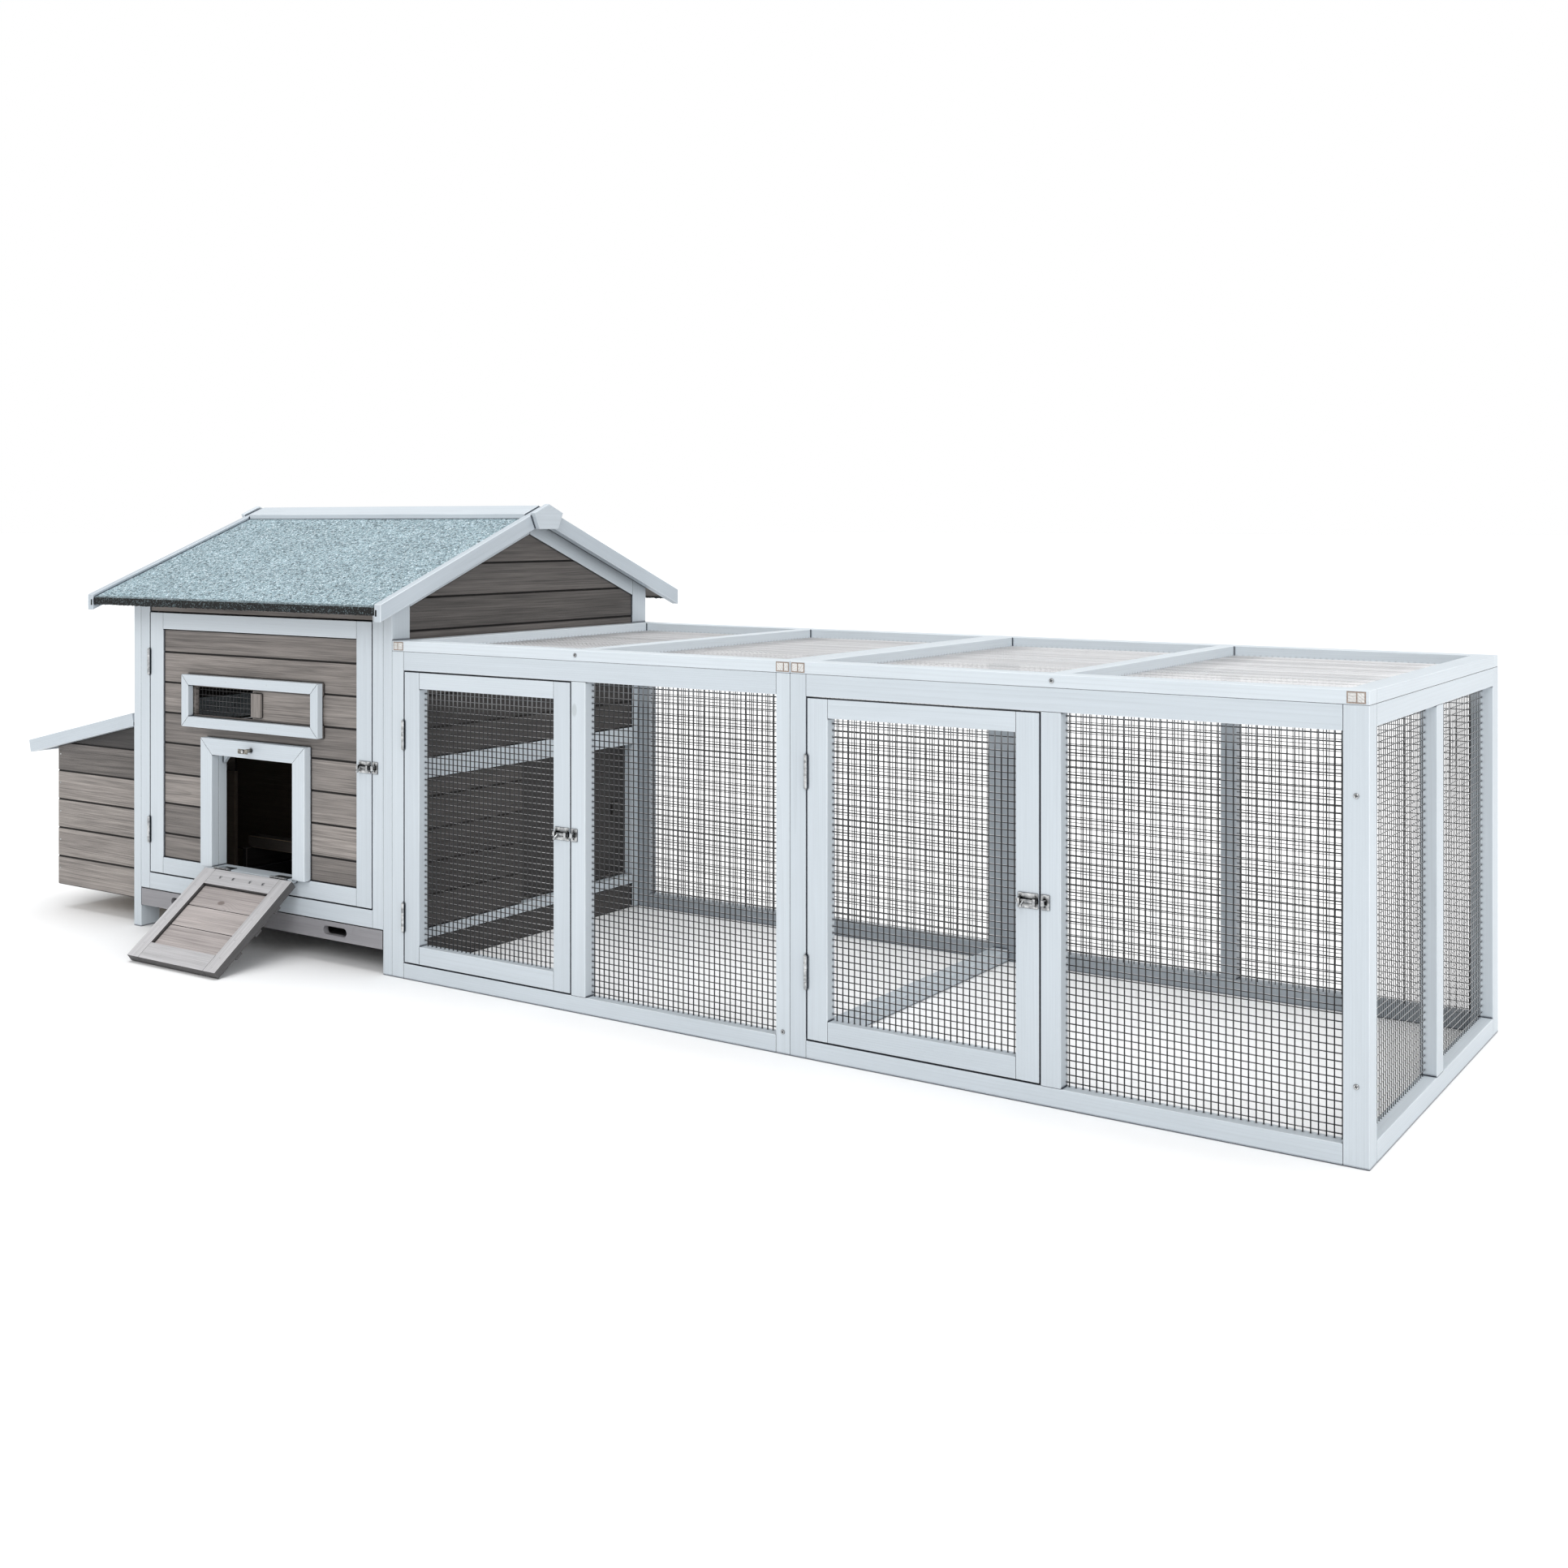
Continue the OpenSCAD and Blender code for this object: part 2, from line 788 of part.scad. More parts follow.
module run_bolt_rod_1() {
    part(metal) at_bolt(run_doors[0] + run_door_w, run_bolt_z[0]) bolt_rod();
}

module run_bolt_rod_2() {
    part(metal) at_bolt(run_doors[1] + run_door_w, run_bolt_z[1]) bolt_rod();
}

// ---------- Front door ----------

// The threshold is let into the bottom rail
module front_door_frame() {
    part(white) difference() {
        butted_frame(door_x, [0, door_t], door_z, door_stile_w, door_rail_h, door_rail_h);
        block(pop_x, [-1, door_t + 1], [threshold_z[0] - joint, threshold_z[1] + 1]);
    }
}

// Stretches of one row of planks that the window and the pop hole leave
function door_spans(row, x) =
    row[0] < pop_plank_top - 1 ? [[x[0], pop_x[0] - lining_t], [pop_x[1] + lining_t, x[1]]]
    : abs(row[0] - window_hole_z[0]) < 1 ? [[x[0], window_hole_x[0]], [window_hole_x[1], x[1]]]
    : [x];

module front_door_planks() {
    part(grey_wood) {
        x = [door_x[0] + door_stile_w, door_x[1] - door_stile_w];
        for (row = plank_rows([door_z[0] + door_rail_h, door_z[1] - door_rail_h], plank_base)) {
            for (span = door_spans(row, x)) {
                along_x(span) plank_section(row, door_plank_y, 1);
            }
        }
    }
}

module front_door_fittings() {
    part(metal) {
        for (z = door_hinge_z) {
            in_gap(door_x[0], z) gap_leaf(1, 1);
        }
        at_bolt(door_x[1], front_bolt_z) bolt_case();
    }
}

module window_frame() {
    part(white) mitred_frame(window_x, [-trim_t, 0], window_z, window_member);
}

// Packing behind the window frame that leaves a channel for the shutter
module window_tracks() {
    part(grey_wood) {
        block(window_x, [0, door_plank_y], [window_z[0], window_hole_z[0] + 2]);
        block(window_x, [0, door_plank_y], [window_hole_z[1] - 4, window_z[1]]);
    }
}

module window_mesh() {
    part("dimgray") block(window_hole_x, [9, 9 + mesh_t], window_hole_z);
}

module window_shutter() {
    part(grey_wood) {
        z = [window_hole_z[0] + 2 + running_gap, window_hole_z[1] - 4 - running_gap];
        block(shutter_x, [running_gap, door_plank_y - running_gap], z);
        block(handle_x, [-handle_proud, running_gap - joint], [z[0] + 6, z[1] - 6]);
    }
}

// Two mitred uprights and a mitred head in front of the planks, and a threshold
module pop_hole_frame() {
    part(white) {
        y = [-trim_t, door_plank_y];
        low = door_z[0] + door_rail_h;
        for (side = [0, 1]) {
            s = side == 0 ? -1 : 1;
            along_y(y) polygon([
                [pop_x[side], low], [pop_x[side], pop_z[1]],
                [pop_x[side] + s * pop_member, pop_z[1] + pop_head], [pop_x[side] + s * pop_member, low]
            ]);
        }
        along_y(y) polygon([
            [pop_x[0] + joint, pop_z[1]], [pop_x[1] - joint, pop_z[1]],
            [pop_x[1] + pop_member - joint, pop_z[1] + pop_head],
            [pop_x[0] - pop_member + joint, pop_z[1] + pop_head]
        ]);
    }
}

// Boards that line the hole behind the frame, and its threshold
module pop_hole_lining() {
    part(white) {
        y = [door_plank_y, door_t + 3];
        low = door_z[0] + door_rail_h;
        block([pop_x[0] - lining_t, pop_x[0]], y, [low, pop_plank_top]);
        block([pop_x[1], pop_x[1] + lining_t], y, [low, pop_plank_top]);
        timber(0, pop_x, y, [pop_z[1], pop_plank_top]);
        timber(0, pop_x, [-trim_t, door_t + 3], threshold_z);
    }
}

module turn_button() {
    part(metal) translate([ramp_mid_x, 0, button_z]) difference() {
        union() {
            block([-17, 17], [button_y, button_y + 1.5], [-5.5, 5.5]);
            translate([0, -trim_t - 0.3, 0]) rotate([90, 0, 0]) cylinder(h = -button_y - trim_t - 1, r = 4.5);
        }
        translate([0, 1, 0]) rotate([90, 0, 0]) cylinder(h = 60, r = 2 + pin_clearance);
    }
}

module turn_button_screw() {
    part(metal) translate([ramp_mid_x, -trim_t, button_z]) rotate([90, 0, 0]) {
        cylinder(h = -button_y - trim_t + 0.3, r = 2);
        translate([0, 0, -button_y - trim_t + 0.3]) cylinder(h = 1.5, r = 4);
    }
}

// ---------- Ramp ----------

// Moves a shape from the ramp's own frame, where it stands closed above the hinge axis
module on_ramp() {
    translate([ramp_mid_x, ramp_hinge_y, ramp_hinge_z]) rotate([ramp_turn, 0, 0]) children();
}

ramp_y = [ramp_face - ramp_t, ramp_face];
ramp_z = [ramp_start, ramp_reach];
ramp_inner_x = ramp_w / 2 - ramp_stile_w;

module ramp_frame() {
    part(grey_wood) on_ramp() butted_frame(
        [-ramp_w / 2, ramp_w / 2], ramp_y, ramp_z, ramp_stile_w, ramp_rail_w, ramp_rail_w
    );
}

module ramp_planks() {
    part(pale_wood) on_ramp() {
        z = [ramp_z[0] + ramp_rail_w, ramp_z[1] - ramp_rail_w];
        step = (z[1] - z[0]) / 3;
        for (i = [0 : 2]) {
            block([-ramp_inner_x, ramp_inner_x], [ramp_y[0], ramp_y[1] - ramp_plank_inset],
                [z[0] + i * step + 0.5, z[0] + (i + 1) * step - 0.5]);
        }
    }
}

// Battens across the ramp's underside
module ramp_cleats() {
    part(grey_wood) on_ramp() {
        for (i = [1 : 3]) {
            z = ramp_z[0] + i * ramp_l / 4;
            block([-ramp_w / 2, ramp_w / 2], [ramp_y[0] - 6, ramp_y[0]], [z - 10, z + 10]);
        }
    }
}

ramp_leaf_x = [-100, 100];

// Puts a ramp hinge's own frame at the axis, its barrel along x
module at_ramp_hinge(x) {
    translate([ramp_mid_x + x - ramp_leaf_l / 2, ramp_hinge_y, ramp_hinge_z]) rotate([90, 0, 90]) children();
}

// Leaves on the threshold, and the pins that the ramp turns on
module ramp_hinge_fixed() {
    part(metal) {
        y = [-leaf_t / 2, leaf_t / 2];
        for (x = ramp_leaf_x) {
            at_ramp_hinge(x) union() {
                barrel(ramp_leaf_l, 0);
                for (i = [0 : 2 : knuckles - 1]) {
                    block([pin_r + 1, barrel_r + 1], y, knuckle_span(ramp_leaf_l, i));
                }
                block([barrel_r + 0.5, -ramp_hinge_y + 5], y, leaf_span(ramp_leaf_l));
            }
            at_ramp_hinge(x) pin(ramp_leaf_l);
        }
    }
}

// Leaves on the ramp's end
module ramp_hinge_leaves() {
    part(metal) on_ramp() {
        plate_y = [ramp_start - leaf_t, ramp_start];
        for (x = ramp_leaf_x) {
            translate([x - ramp_leaf_l / 2, 0, 0]) rotate([90, 0, 90]) union() {
                barrel(ramp_leaf_l, 1);
                for (i = [1 : 2 : knuckles - 1]) {
                    block([-leaf_t / 2, leaf_t / 2], [pin_r + 1, ramp_start - leaf_t / 2],
                        knuckle_span(ramp_leaf_l, i));
                }
                block([ramp_y[0] + 4, leaf_t], plate_y, leaf_span(ramp_leaf_l));
            }
        }
    }
}

// ---------- Run ----------

// First and last x of each run section, and the widths of its two outer uprights
bays = [[[0, seam_x], run_stile_w, run_end_stile_w], [[seam_x, run_x[1]], run_stile_w, corner_w]];

// Clear width between the outer uprights of a section
function bay_inside(bay) = [bay[0][0] + bay[1], bay[0][1] - bay[2]];

// The post beside each door
function door_post(i) =
    let (start = run_doors[i] + run_door_w + door_gap) [start, start + door_post_w];

// The bar in the middle of a section's back and roof
function middle_bar(bay) =
    let (middle = (bay[0][0] + bay[0][1]) / 2) [middle - roof_bar_w / 2, middle + roof_bar_w / 2];

module run_front_frames() {
    part(white) {
        y = [0, frame_t];
        for (i = [0, 1]) {
            inside = bay_inside(bays[i]);
            timber(0, [bays[i][0][0], inside[0]], y, [0, run_top]);
            timber(0, [inside[1], bays[i][0][1]], [0, i == 1 ? corner_d : frame_t], [0, run_top]);
            timber(0, inside, y, [0, run_bottom_rail]);
            timber(0, inside, y, [run_top - run_top_rail, run_top]);
            timber(2, door_post(i), y, [run_bottom_rail, run_top - run_top_rail]);
        }
    }
}

module run_back_frames() {
    part(white) {
        y = [depth - frame_t, depth];
        for (i = [0, 1]) {
            inside = bay_inside(bays[i]);
            timber(0, [bays[i][0][0], inside[0]], y, [0, run_top]);
            if (i == 0) {
                timber(0, [inside[1], bays[i][0][1]], y, [0, run_top]);
            }
            timber(0, inside, y, [0, run_bottom_rail]);
            timber(0, inside, y, [run_top - run_top_rail, run_top]);
            timber(2, middle_bar(bays[i]), y, [run_bottom_rail, run_top - run_top_rail]);
        }
    }
}

end_x = [run_x[1] - frame_t, run_x[1]];
end_y = [corner_d, depth - 45];
end_post_y = [425, 470];
end_rail = 36;

module run_end_frame() {
    part(white) {
        block([run_x[1] - corner_w, run_x[1]], [end_y[1], depth], [0, run_top]);
        timber(1, end_x, end_y, [0, end_rail]);
        timber(1, end_x, end_y, [run_top - end_rail, run_top]);
        timber(2, end_x, end_post_y, [end_rail, run_top - end_rail]);
    }
}

module run_roof_frames() {
    part(white) {
        z = [run_top, run_h];
        inner_y = [corner_w, depth - corner_w];
        for (bay = bays) {
            inside = bay_inside(bay);
            timber(0, bay[0], [0, inner_y[0]], z);
            timber(0, bay[0], [inner_y[1], depth], z);
            timber(1, [bay[0][0], inside[0]], inner_y, z);
            timber(1, [inside[1], bay[0][1] - joint], inner_y, z);
            timber(1, middle_bar(bay), inner_y, z);
        }
    }
}

module run_floor_bar() {
    part(white) block([seam_x - 20, seam_x + 20], [frame_t, depth - frame_t], [0, 28]);
}

// Sheets of mesh, each held in the grooves of the frame round it
module run_mesh() {
    part("dimgray") {
        z = [run_bottom_rail, run_top - run_top_rail];
        for (i = [0, 1]) {
            inside = bay_inside(bays[i]);
            bar = middle_bar(bays[i]);
            block([door_post(i)[1], inside[1]], [mesh_y, mesh_y + mesh_t], z);
            for (x = [[inside[0], bar[0]], [bar[1], inside[1]]]) {
                block(x, [depth - mesh_y - mesh_t, depth - mesh_y], z);
                block(x, [corner_w, depth - corner_w], [roof_mesh_z, roof_mesh_z + mesh_t]);
            }
        }
        for (y = [[end_y[0], end_post_y[0]], [end_post_y[1], end_y[1]]]) {
            block([run_x[1] - mesh_y - mesh_t, run_x[1] - mesh_y], y, [end_rail, run_top - end_rail]);
        }
    }
}

module run_door_frame(i) {
    part(white) butted_frame([run_doors[i], run_doors[i] + run_door_w], [0, door_t], run_door_z,
        run_door_stile_w, run_door_rails[0], run_door_rails[1]);
}

module run_door_mesh(i) {
    part("dimgray") block(
        [run_doors[i] + run_door_stile_w, run_doors[i] + run_door_w - run_door_stile_w],
        [mesh_y - 4, mesh_y - 4 + mesh_t],
        [run_door_z[0] + run_door_rails[0], run_door_z[1] - run_door_rails[1]]
    );
}

module run_door_fittings(i) {
    part(metal) {
        for (z = run_hinge_z[i]) {
            in_gap(run_doors[i], z) gap_leaf(1, 1);
        }
        at_bolt(run_doors[i] + run_door_w, run_bolt_z[i]) bolt_case();
    }
}

module run_door_1_frame() { run_door_frame(0); }
module run_door_1_mesh() { run_door_mesh(0); }
module run_door_1_fittings() { run_door_fittings(0); }
module run_door_2_frame() { run_door_frame(1); }
module run_door_2_mesh() { run_door_mesh(1); }
module run_door_2_fittings() { run_door_fittings(1); }

// Heads of the screws that hold the run's panels together
module frame_screws() {
    part(metal) {
        post_screws = [
            for (z = [584, 128]) [run_x[1] - corner_w / 2, z],
            [seam_x - run_end_stile_w / 2, 43]
        ];
        rail_screws = [
            for (bay = bays) [(bay[0][0] + bay[0][1]) / 2, run_top + 12]
        ];
        for (place = concat(post_screws, rail_screws)) {
            translate([place[0], 0, place[1]]) rotate([90, 0, 0]) cylinder(h = 1.5, r = 4);
        }
    }
}

right_side_frame();
right_side_planks();
left_side_frame();
left_side_planks();
front_frame();
front_top_board();
back_frame();
back_planks();
roof_decks();
roof_felt();
barge_boards();
ridge_boards();
ridge_end_blocks();
tray_front();
tray_box();
tray_runners();
perches();
perch_holders();
side_door_panel();
side_door_tracks();
nest_walls();
nest_floor();
nest_dividers();
nest_lid();
nest_lid_felt();
nest_lid_hinge_leaves();
front_door_frame();
front_door_planks();
front_door_fittings();
window_frame();
window_tracks();
window_mesh();
window_shutter();
pop_hole_frame();
pop_hole_lining();
turn_button();
turn_button_screw();
ramp_frame();
ramp_planks();
ramp_cleats();
ramp_hinge_fixed();
ramp_hinge_leaves();
fixed_hinge_leaves();
bolt_keepers();
front_bolt_rod();
run_bolt_rod_1();
run_bolt_rod_2();
run_front_frames();
run_back_frames();
run_end_frame();
run_roof_frames();
run_floor_bar();
run_mesh();
run_door_1_frame();
run_door_1_mesh();
run_door_1_fittings();
run_door_2_frame();
run_door_2_mesh();
run_door_2_fittings();
frame_screws();
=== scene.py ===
"""Looks of the chicken coop: timber, roofing felt, welded mesh, hardware, floor, lights and camera."""

import json
import math
import random

import bmesh
import bpy
from mathutils import Matrix, Vector, noise

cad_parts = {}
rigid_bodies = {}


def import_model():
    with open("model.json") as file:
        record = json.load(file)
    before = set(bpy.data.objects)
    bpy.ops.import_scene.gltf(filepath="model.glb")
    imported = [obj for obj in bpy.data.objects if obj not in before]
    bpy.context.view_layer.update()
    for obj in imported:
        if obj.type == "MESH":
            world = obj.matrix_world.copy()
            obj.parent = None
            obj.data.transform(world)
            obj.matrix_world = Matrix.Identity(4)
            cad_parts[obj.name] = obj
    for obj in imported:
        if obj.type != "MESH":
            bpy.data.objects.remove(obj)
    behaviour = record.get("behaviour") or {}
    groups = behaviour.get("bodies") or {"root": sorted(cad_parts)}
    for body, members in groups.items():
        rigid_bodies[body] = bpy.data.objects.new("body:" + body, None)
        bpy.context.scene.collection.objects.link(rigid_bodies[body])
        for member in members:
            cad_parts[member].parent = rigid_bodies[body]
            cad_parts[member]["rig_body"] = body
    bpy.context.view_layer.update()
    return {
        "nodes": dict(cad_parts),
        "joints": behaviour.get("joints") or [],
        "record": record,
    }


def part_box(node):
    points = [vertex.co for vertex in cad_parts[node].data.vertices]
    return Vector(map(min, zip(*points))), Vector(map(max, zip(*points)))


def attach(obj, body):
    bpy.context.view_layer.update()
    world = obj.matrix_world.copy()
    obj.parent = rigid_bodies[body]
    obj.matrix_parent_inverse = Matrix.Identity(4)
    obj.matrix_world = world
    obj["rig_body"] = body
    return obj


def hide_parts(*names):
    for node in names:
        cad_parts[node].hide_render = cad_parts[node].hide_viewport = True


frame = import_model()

MM = 0.001
NODES = frame["nodes"]
SLOT_OF = {part["node"]: part["material_slot"] for part in frame["record"]["subparts"]}
BODY_OF = {node: NODES[node]["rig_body"] for node in NODES}
JOINTS = {joint["name"]: joint for joint in frame["joints"]}

# The plan's origin: the wall between house and run, the common front face, the ground
PLAN_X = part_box("right_side_frame")[1].x
PLAN_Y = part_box("front_door_frame")[0].y


def at(x, y, z):
    """A place given in the plan's millimetres, as a point in the row frame."""
    return Vector((PLAN_X + x * MM, PLAN_Y + y * MM, z * MM))


# ---------- Camera ----------

CAMERA_PLACE = (2.527, -3.185, 1.011)
CAMERA_YAW = 33.65
CAMERA_LENS = 40.7
CAMERA_SHIFT = -0.166

camera_data = bpy.data.cameras.new("camera")
camera_data.sensor_width = 36
camera_data.lens = CAMERA_LENS
camera_data.shift_y = CAMERA_SHIFT
camera_data.clip_start = 0.05
camera_data.clip_end = 400
camera = bpy.data.objects.new("camera", camera_data)
camera.location = CAMERA_PLACE
camera.rotation_euler = (math.radians(90), 0, math.radians(CAMERA_YAW))
bpy.context.scene.collection.objects.link(camera)
bpy.context.scene.camera = camera
bpy.context.scene.view_settings.view_transform = "Standard"


# ---------- Materials ----------


def srgb(red, green, blue):
    """A display colour from 0 to 255 as the linear colour that a shader takes."""
    linear = [
        c / 12.92 if c <= 0.04045 else ((c + 0.055) / 1.055) ** 2.4
        for c in (red / 255, green / 255, blue / 255)
    ]
    return (*linear, 1)


class Shader:
    """A new material, with short ways to add nodes to it."""

    def __init__(self, name):
        self.material = bpy.data.materials.new(name)
        self.material.use_nodes = True
        self.tree = self.material.node_tree
        self.surface = self.tree.nodes["Principled BSDF"]

    def put(self, socket, value):
        if isinstance(value, bpy.types.NodeSocket):
            self.tree.links.new(value, socket)
        else:
            socket.default_value = value

    def node(self, kind, inputs, **settings):
        made = self.tree.nodes.new(kind)
        for key, value in settings.items():
            setattr(made, key, value)
        for key, value in inputs.items():
            self.put(made.inputs[key], value)
        return made

    def attribute(self, name, output):
        return self.node("ShaderNodeAttribute", {}, attribute_name=name).outputs[output]

    def place(self):
        return self.node("ShaderNodeTexCoord", {}).outputs["Object"]

    def math(self, operation, first, second=0.0):
        return self.node("ShaderNodeMath", {0: first, 1: second}, operation=operation).outputs[0]

    def vector(self, operation, first, second=(0, 0, 0)):
        made = self.node("ShaderNodeVectorMath", {0: first, 1: second}, operation=operation)
        return made.outputs["Value" if operation in ("LENGTH", "DISTANCE") else "Vector"]

    def scaled(self, vector, factor):
        inputs = {0: vector, "Scale": factor}
        return self.node("ShaderNodeVectorMath", inputs, operation="SCALE").outputs["Vector"]

    def noise(self, vector, scale, detail=2.0, output="Fac"):
        inputs = {"Vector": vector, "Scale": scale, "Detail": detail}
        return self.node("ShaderNodeTexNoise", inputs).outputs[output]

    def cells(self, vector, scale):
        inputs = {"Vector": vector, "Scale": scale}
        return self.node("ShaderNodeTexVoronoi", inputs)

    def span(self, value, low, high, to_low=0.0, to_high=1.0):
        inputs = {"Value": value, 1: low, 2: high, 3: to_low, 4: to_high}
        made = self.node("ShaderNodeMapRange", inputs, interpolation_type="SMOOTHSTEP")
        return made.outputs[0]

    def mix(self, factor, first, second):
        inputs = {0: factor, 6: first, 7: second}
        return self.node("ShaderNodeMix", inputs, data_type="RGBA").outputs[2]

    def red(self, colour):
        return self.node("ShaderNodeSeparateColor", {0: colour}).outputs[0]

    def bump(self, height, distance, strength=1.0):
        inputs = {"Height": height, "Distance": distance, "Strength": strength}
        self.put(self.surface.inputs["Normal"], self.node("ShaderNodeBump", inputs).outputs[0])


RING_SPACING = 0.0042
RING_WANDER = 0.007
KNOT_CELLS = (4.5, 9, 9)
KNOT_RADIUS = 0.075
KNOT_HALO = 0.32
KNOT_DEPTH = 0.75
RING_BULGE = 0.011
LATE_WOOD_POWER = 2.5
# Cells in a metre along the grain, across it and through it
WANDER_CELLS = (1.3, 11, 11)
FIBRE_CELLS = (9, 380, 380)
STREAK_CELLS = (2.6, 120, 120)
PATCH_CELLS = (3.5, 13, 13)
FIBRE_ROUGHNESS = 0.25
FIBRE_HEIGHT = 0.6
# How far the painted shade in crevices of timber and the painted shadow around metal reach
CREVICE_REACH = 0.005
SHADOW_REACH = 0.008


def wood(name, colours, figure, knot, knot_share, worn, roughness, relief, painted_shade):
    """Timber whose year rings, fibres and knots run through the solid along each member.

    The attribute grain holds a point's place in its member's own log, with x along the grain.
    The attribute tone picks a colour between the two in colours, worn marks broken edges, and
    a face mask marks faces painted with shade whatever stands next to them, such as the grooves of boarding.
    The figure holds the strength of rings, of fine fibres and streaks, and of broad patches,
    and the last argument holds the strength and the colour of the painted shade in crevices, which ambient
    occlusion finds, and on masked faces.
    """
    ring, fibre, blotch = figure
    s = Shader(name)
    grain = s.attribute("grain", "Vector")
    wander = s.noise(s.vector("MULTIPLY", grain, WANDER_CELLS), 1.0, 2.0, "Color")
    wander = s.vector("SUBTRACT", wander, (0.5, 0.5, 0.5))
    log = s.vector("ADD", grain, s.vector("MULTIPLY", wander, (0, RING_WANDER, RING_WANDER)))

    cells = s.cells(s.vector("MULTIPLY", grain, KNOT_CELLS), 1.0)
    chosen = s.math("GREATER_THAN", s.red(cells.outputs["Color"]), 1 - knot_share)
    from_knot = cells.outputs["Distance"]
    halo = s.math("MULTIPLY", s.span(from_knot, KNOT_HALO, KNOT_RADIUS), chosen)
    heart = s.math("MULTIPLY", s.span(from_knot, KNOT_RADIUS, KNOT_RADIUS * 0.6), chosen)

    radius = s.vector("LENGTH", s.vector("MULTIPLY", log, (0, 1, 1)))
    radius = s.math("ADD", radius, s.math("MULTIPLY", halo, RING_BULGE))
    year = s.math("FRACT", s.math("DIVIDE", radius, RING_SPACING))
    late_wood = s.math("POWER", year, LATE_WOOD_POWER)
    fibres = s.noise(s.vector("MULTIPLY", grain, FIBRE_CELLS), 1.0, 3.0)
    streaks = s.noise(s.vector("MULTIPLY", grain, STREAK_CELLS), 1.0, 4.0)
    patches = s.noise(s.vector("MULTIPLY", grain, PATCH_CELLS), 1.0, 3.0)

    shade = s.math("SUBTRACT", 1.0, s.math("MULTIPLY", late_wood, ring))
    for source, strength in ((fibres, fibre), (streaks, fibre), (patches, blotch)):
        shade = s.math("ADD", shade, s.math("MULTIPLY", s.math("SUBTRACT", source, 0.5), strength))
    colour = s.mix(s.attribute("tone", "Fac"), colours[0], colours[1])
    colour = s.scaled(colour, shade)
    colour = s.mix(s.math("MULTIPLY", heart, KNOT_DEPTH), colour, knot)
    rubbed = s.math("MULTIPLY", s.attribute("worn", "Fac"), s.span(patches, 0.35, 0.65, 0.15, 0.75))
    colour = s.mix(rubbed, colour, worn)
    # Painted shade: ambient occlusion darkens crevices, joints and recesses, and masked faces get at least
    # their mask's strength of it
    open_sky = s.node("ShaderNodeAmbientOcclusion", {"Distance": CREVICE_REACH}, samples=6)
    crevice_shade = s.span(open_sky.outputs["AO"], 0.95, 0.66)
    crevice_shade = s.math("MAXIMUM", crevice_shade, s.attribute("shade_mask", "Fac"))
    colour = s.mix(s.math("MULTIPLY", crevice_shade, painted_shade[0]), colour, painted_shade[1])
    s.put(s.surface.inputs["Base Color"], colour)
    rough = s.math("ADD", s.math("MULTIPLY", s.math("SUBTRACT", fibres, 0.5), FIBRE_ROUGHNESS), roughness)
    s.put(s.surface.inputs["Roughness"], rough)
    height = s.math("SUBTRACT", s.math("ADD", s.math("MULTIPLY", fibres, FIBRE_HEIGHT), year), heart)
    s.bump(height, relief)
    return s.material


# Cells in a metre
GRANULE_CELLS = 430.0
CLUSTER_CELLS = 85.0
SPECK_CELLS = 105.0
DRIFT_CELLS = 9.0
CLOUD_CELLS = 140.0
SCRATCH_CELLS = (900, 900, 90)
WIRE_CLOUD_CELLS = 60.0


def felt_material():
    """Roofing felt: mineral granules of mixed tone, darker and barer where the sheet is folded, partly as
    the real edge of the sheet and partly as painted shade over the fold.
    """
    s = Shader("roof_felt")
    place = s.place()
    granules = s.cells(place, GRANULE_CELLS)
    pick = s.red(granules.outputs["Color"])
    clusters = s.noise(place, CLUSTER_CELLS, 2.0)
    specks = s.cells(place, SPECK_CELLS)
    dark_speck = s.math("GREATER_THAN", s.red(specks.outputs["Color"]), 0.55)
    dark_speck = s.math("MULTIPLY", dark_speck, s.span(specks.outputs["Distance"], 0.45, 0.3))
    drift = s.noise(place, DRIFT_CELLS, 3.0)
    colour = s.mix(s.span(pick, 0.35, 0.75), srgb(124, 145, 153), srgb(160, 181, 190))
    colour = s.mix(s.span(pick, 0.84, 0.96), colour, srgb(214, 226, 232))
    colour = s.mix(s.span(pick, 0.14, 0.04), colour, srgb(58, 74, 80))
    colour = s.mix(s.math("MULTIPLY", dark_speck, 0.8), colour, srgb(66, 82, 88))
    colour = s.scaled(colour, s.span(clusters, 0.3, 0.7, 0.9, 1.2))
    colour = s.scaled(colour, s.span(drift, 0.3, 0.7, 0.95, 1.05))
    folded = s.attribute("worn", "Fac")
    # The fold's colour: the darker, barer granules of the real edge together with painted shade, down to
    # near black
    fold_and_shade = s.mix(s.span(pick, 0.75, 0.98), srgb(14, 16, 17), srgb(84, 97, 101))
    s.put(s.surface.inputs["Base Color"], s.mix(folded, colour, fold_and_shade))
    s.surface.inputs["Roughness"].default_value = 0.92
    height = s.math("SUBTRACT", s.math("MULTIPLY", pick, 0.5), granules.outputs["Distance"])
    s.bump(height, 0.0012)
    return s.material


def metal_material(name, colour, dull, roughness):
    """Plated steel with a cloudy finish, with painted shade where it sits close to something."""
    s = Shader(name)
    place = s.place()
    clouds = s.noise(place, CLOUD_CELLS, 3.0)
    scratches = s.noise(s.vector("MULTIPLY", place, SCRATCH_CELLS), 1.0, 2.0)
    # Painted shade: ambient occlusion darkens the plate towards near black where it sits close to something
    open_sky = s.node("ShaderNodeAmbientOcclusion", {"Distance": SHADOW_REACH}, samples=6)
    crevice_shade = s.span(open_sky.outputs["AO"], 0.95, 0.6)
    plate = s.mix(s.span(clouds, 0.3, 0.7), colour, dull)
    s.put(s.surface.inputs["Base Color"], s.mix(crevice_shade, plate, srgb(22, 24, 24)))
    s.surface.inputs["Metallic"].default_value = 1.0
    rough = s.math("ADD", s.math("MULTIPLY", clouds, 0.2), roughness)
    s.put(s.surface.inputs["Roughness"], rough)
    s.bump(scratches, 0.00005)
    return s.material


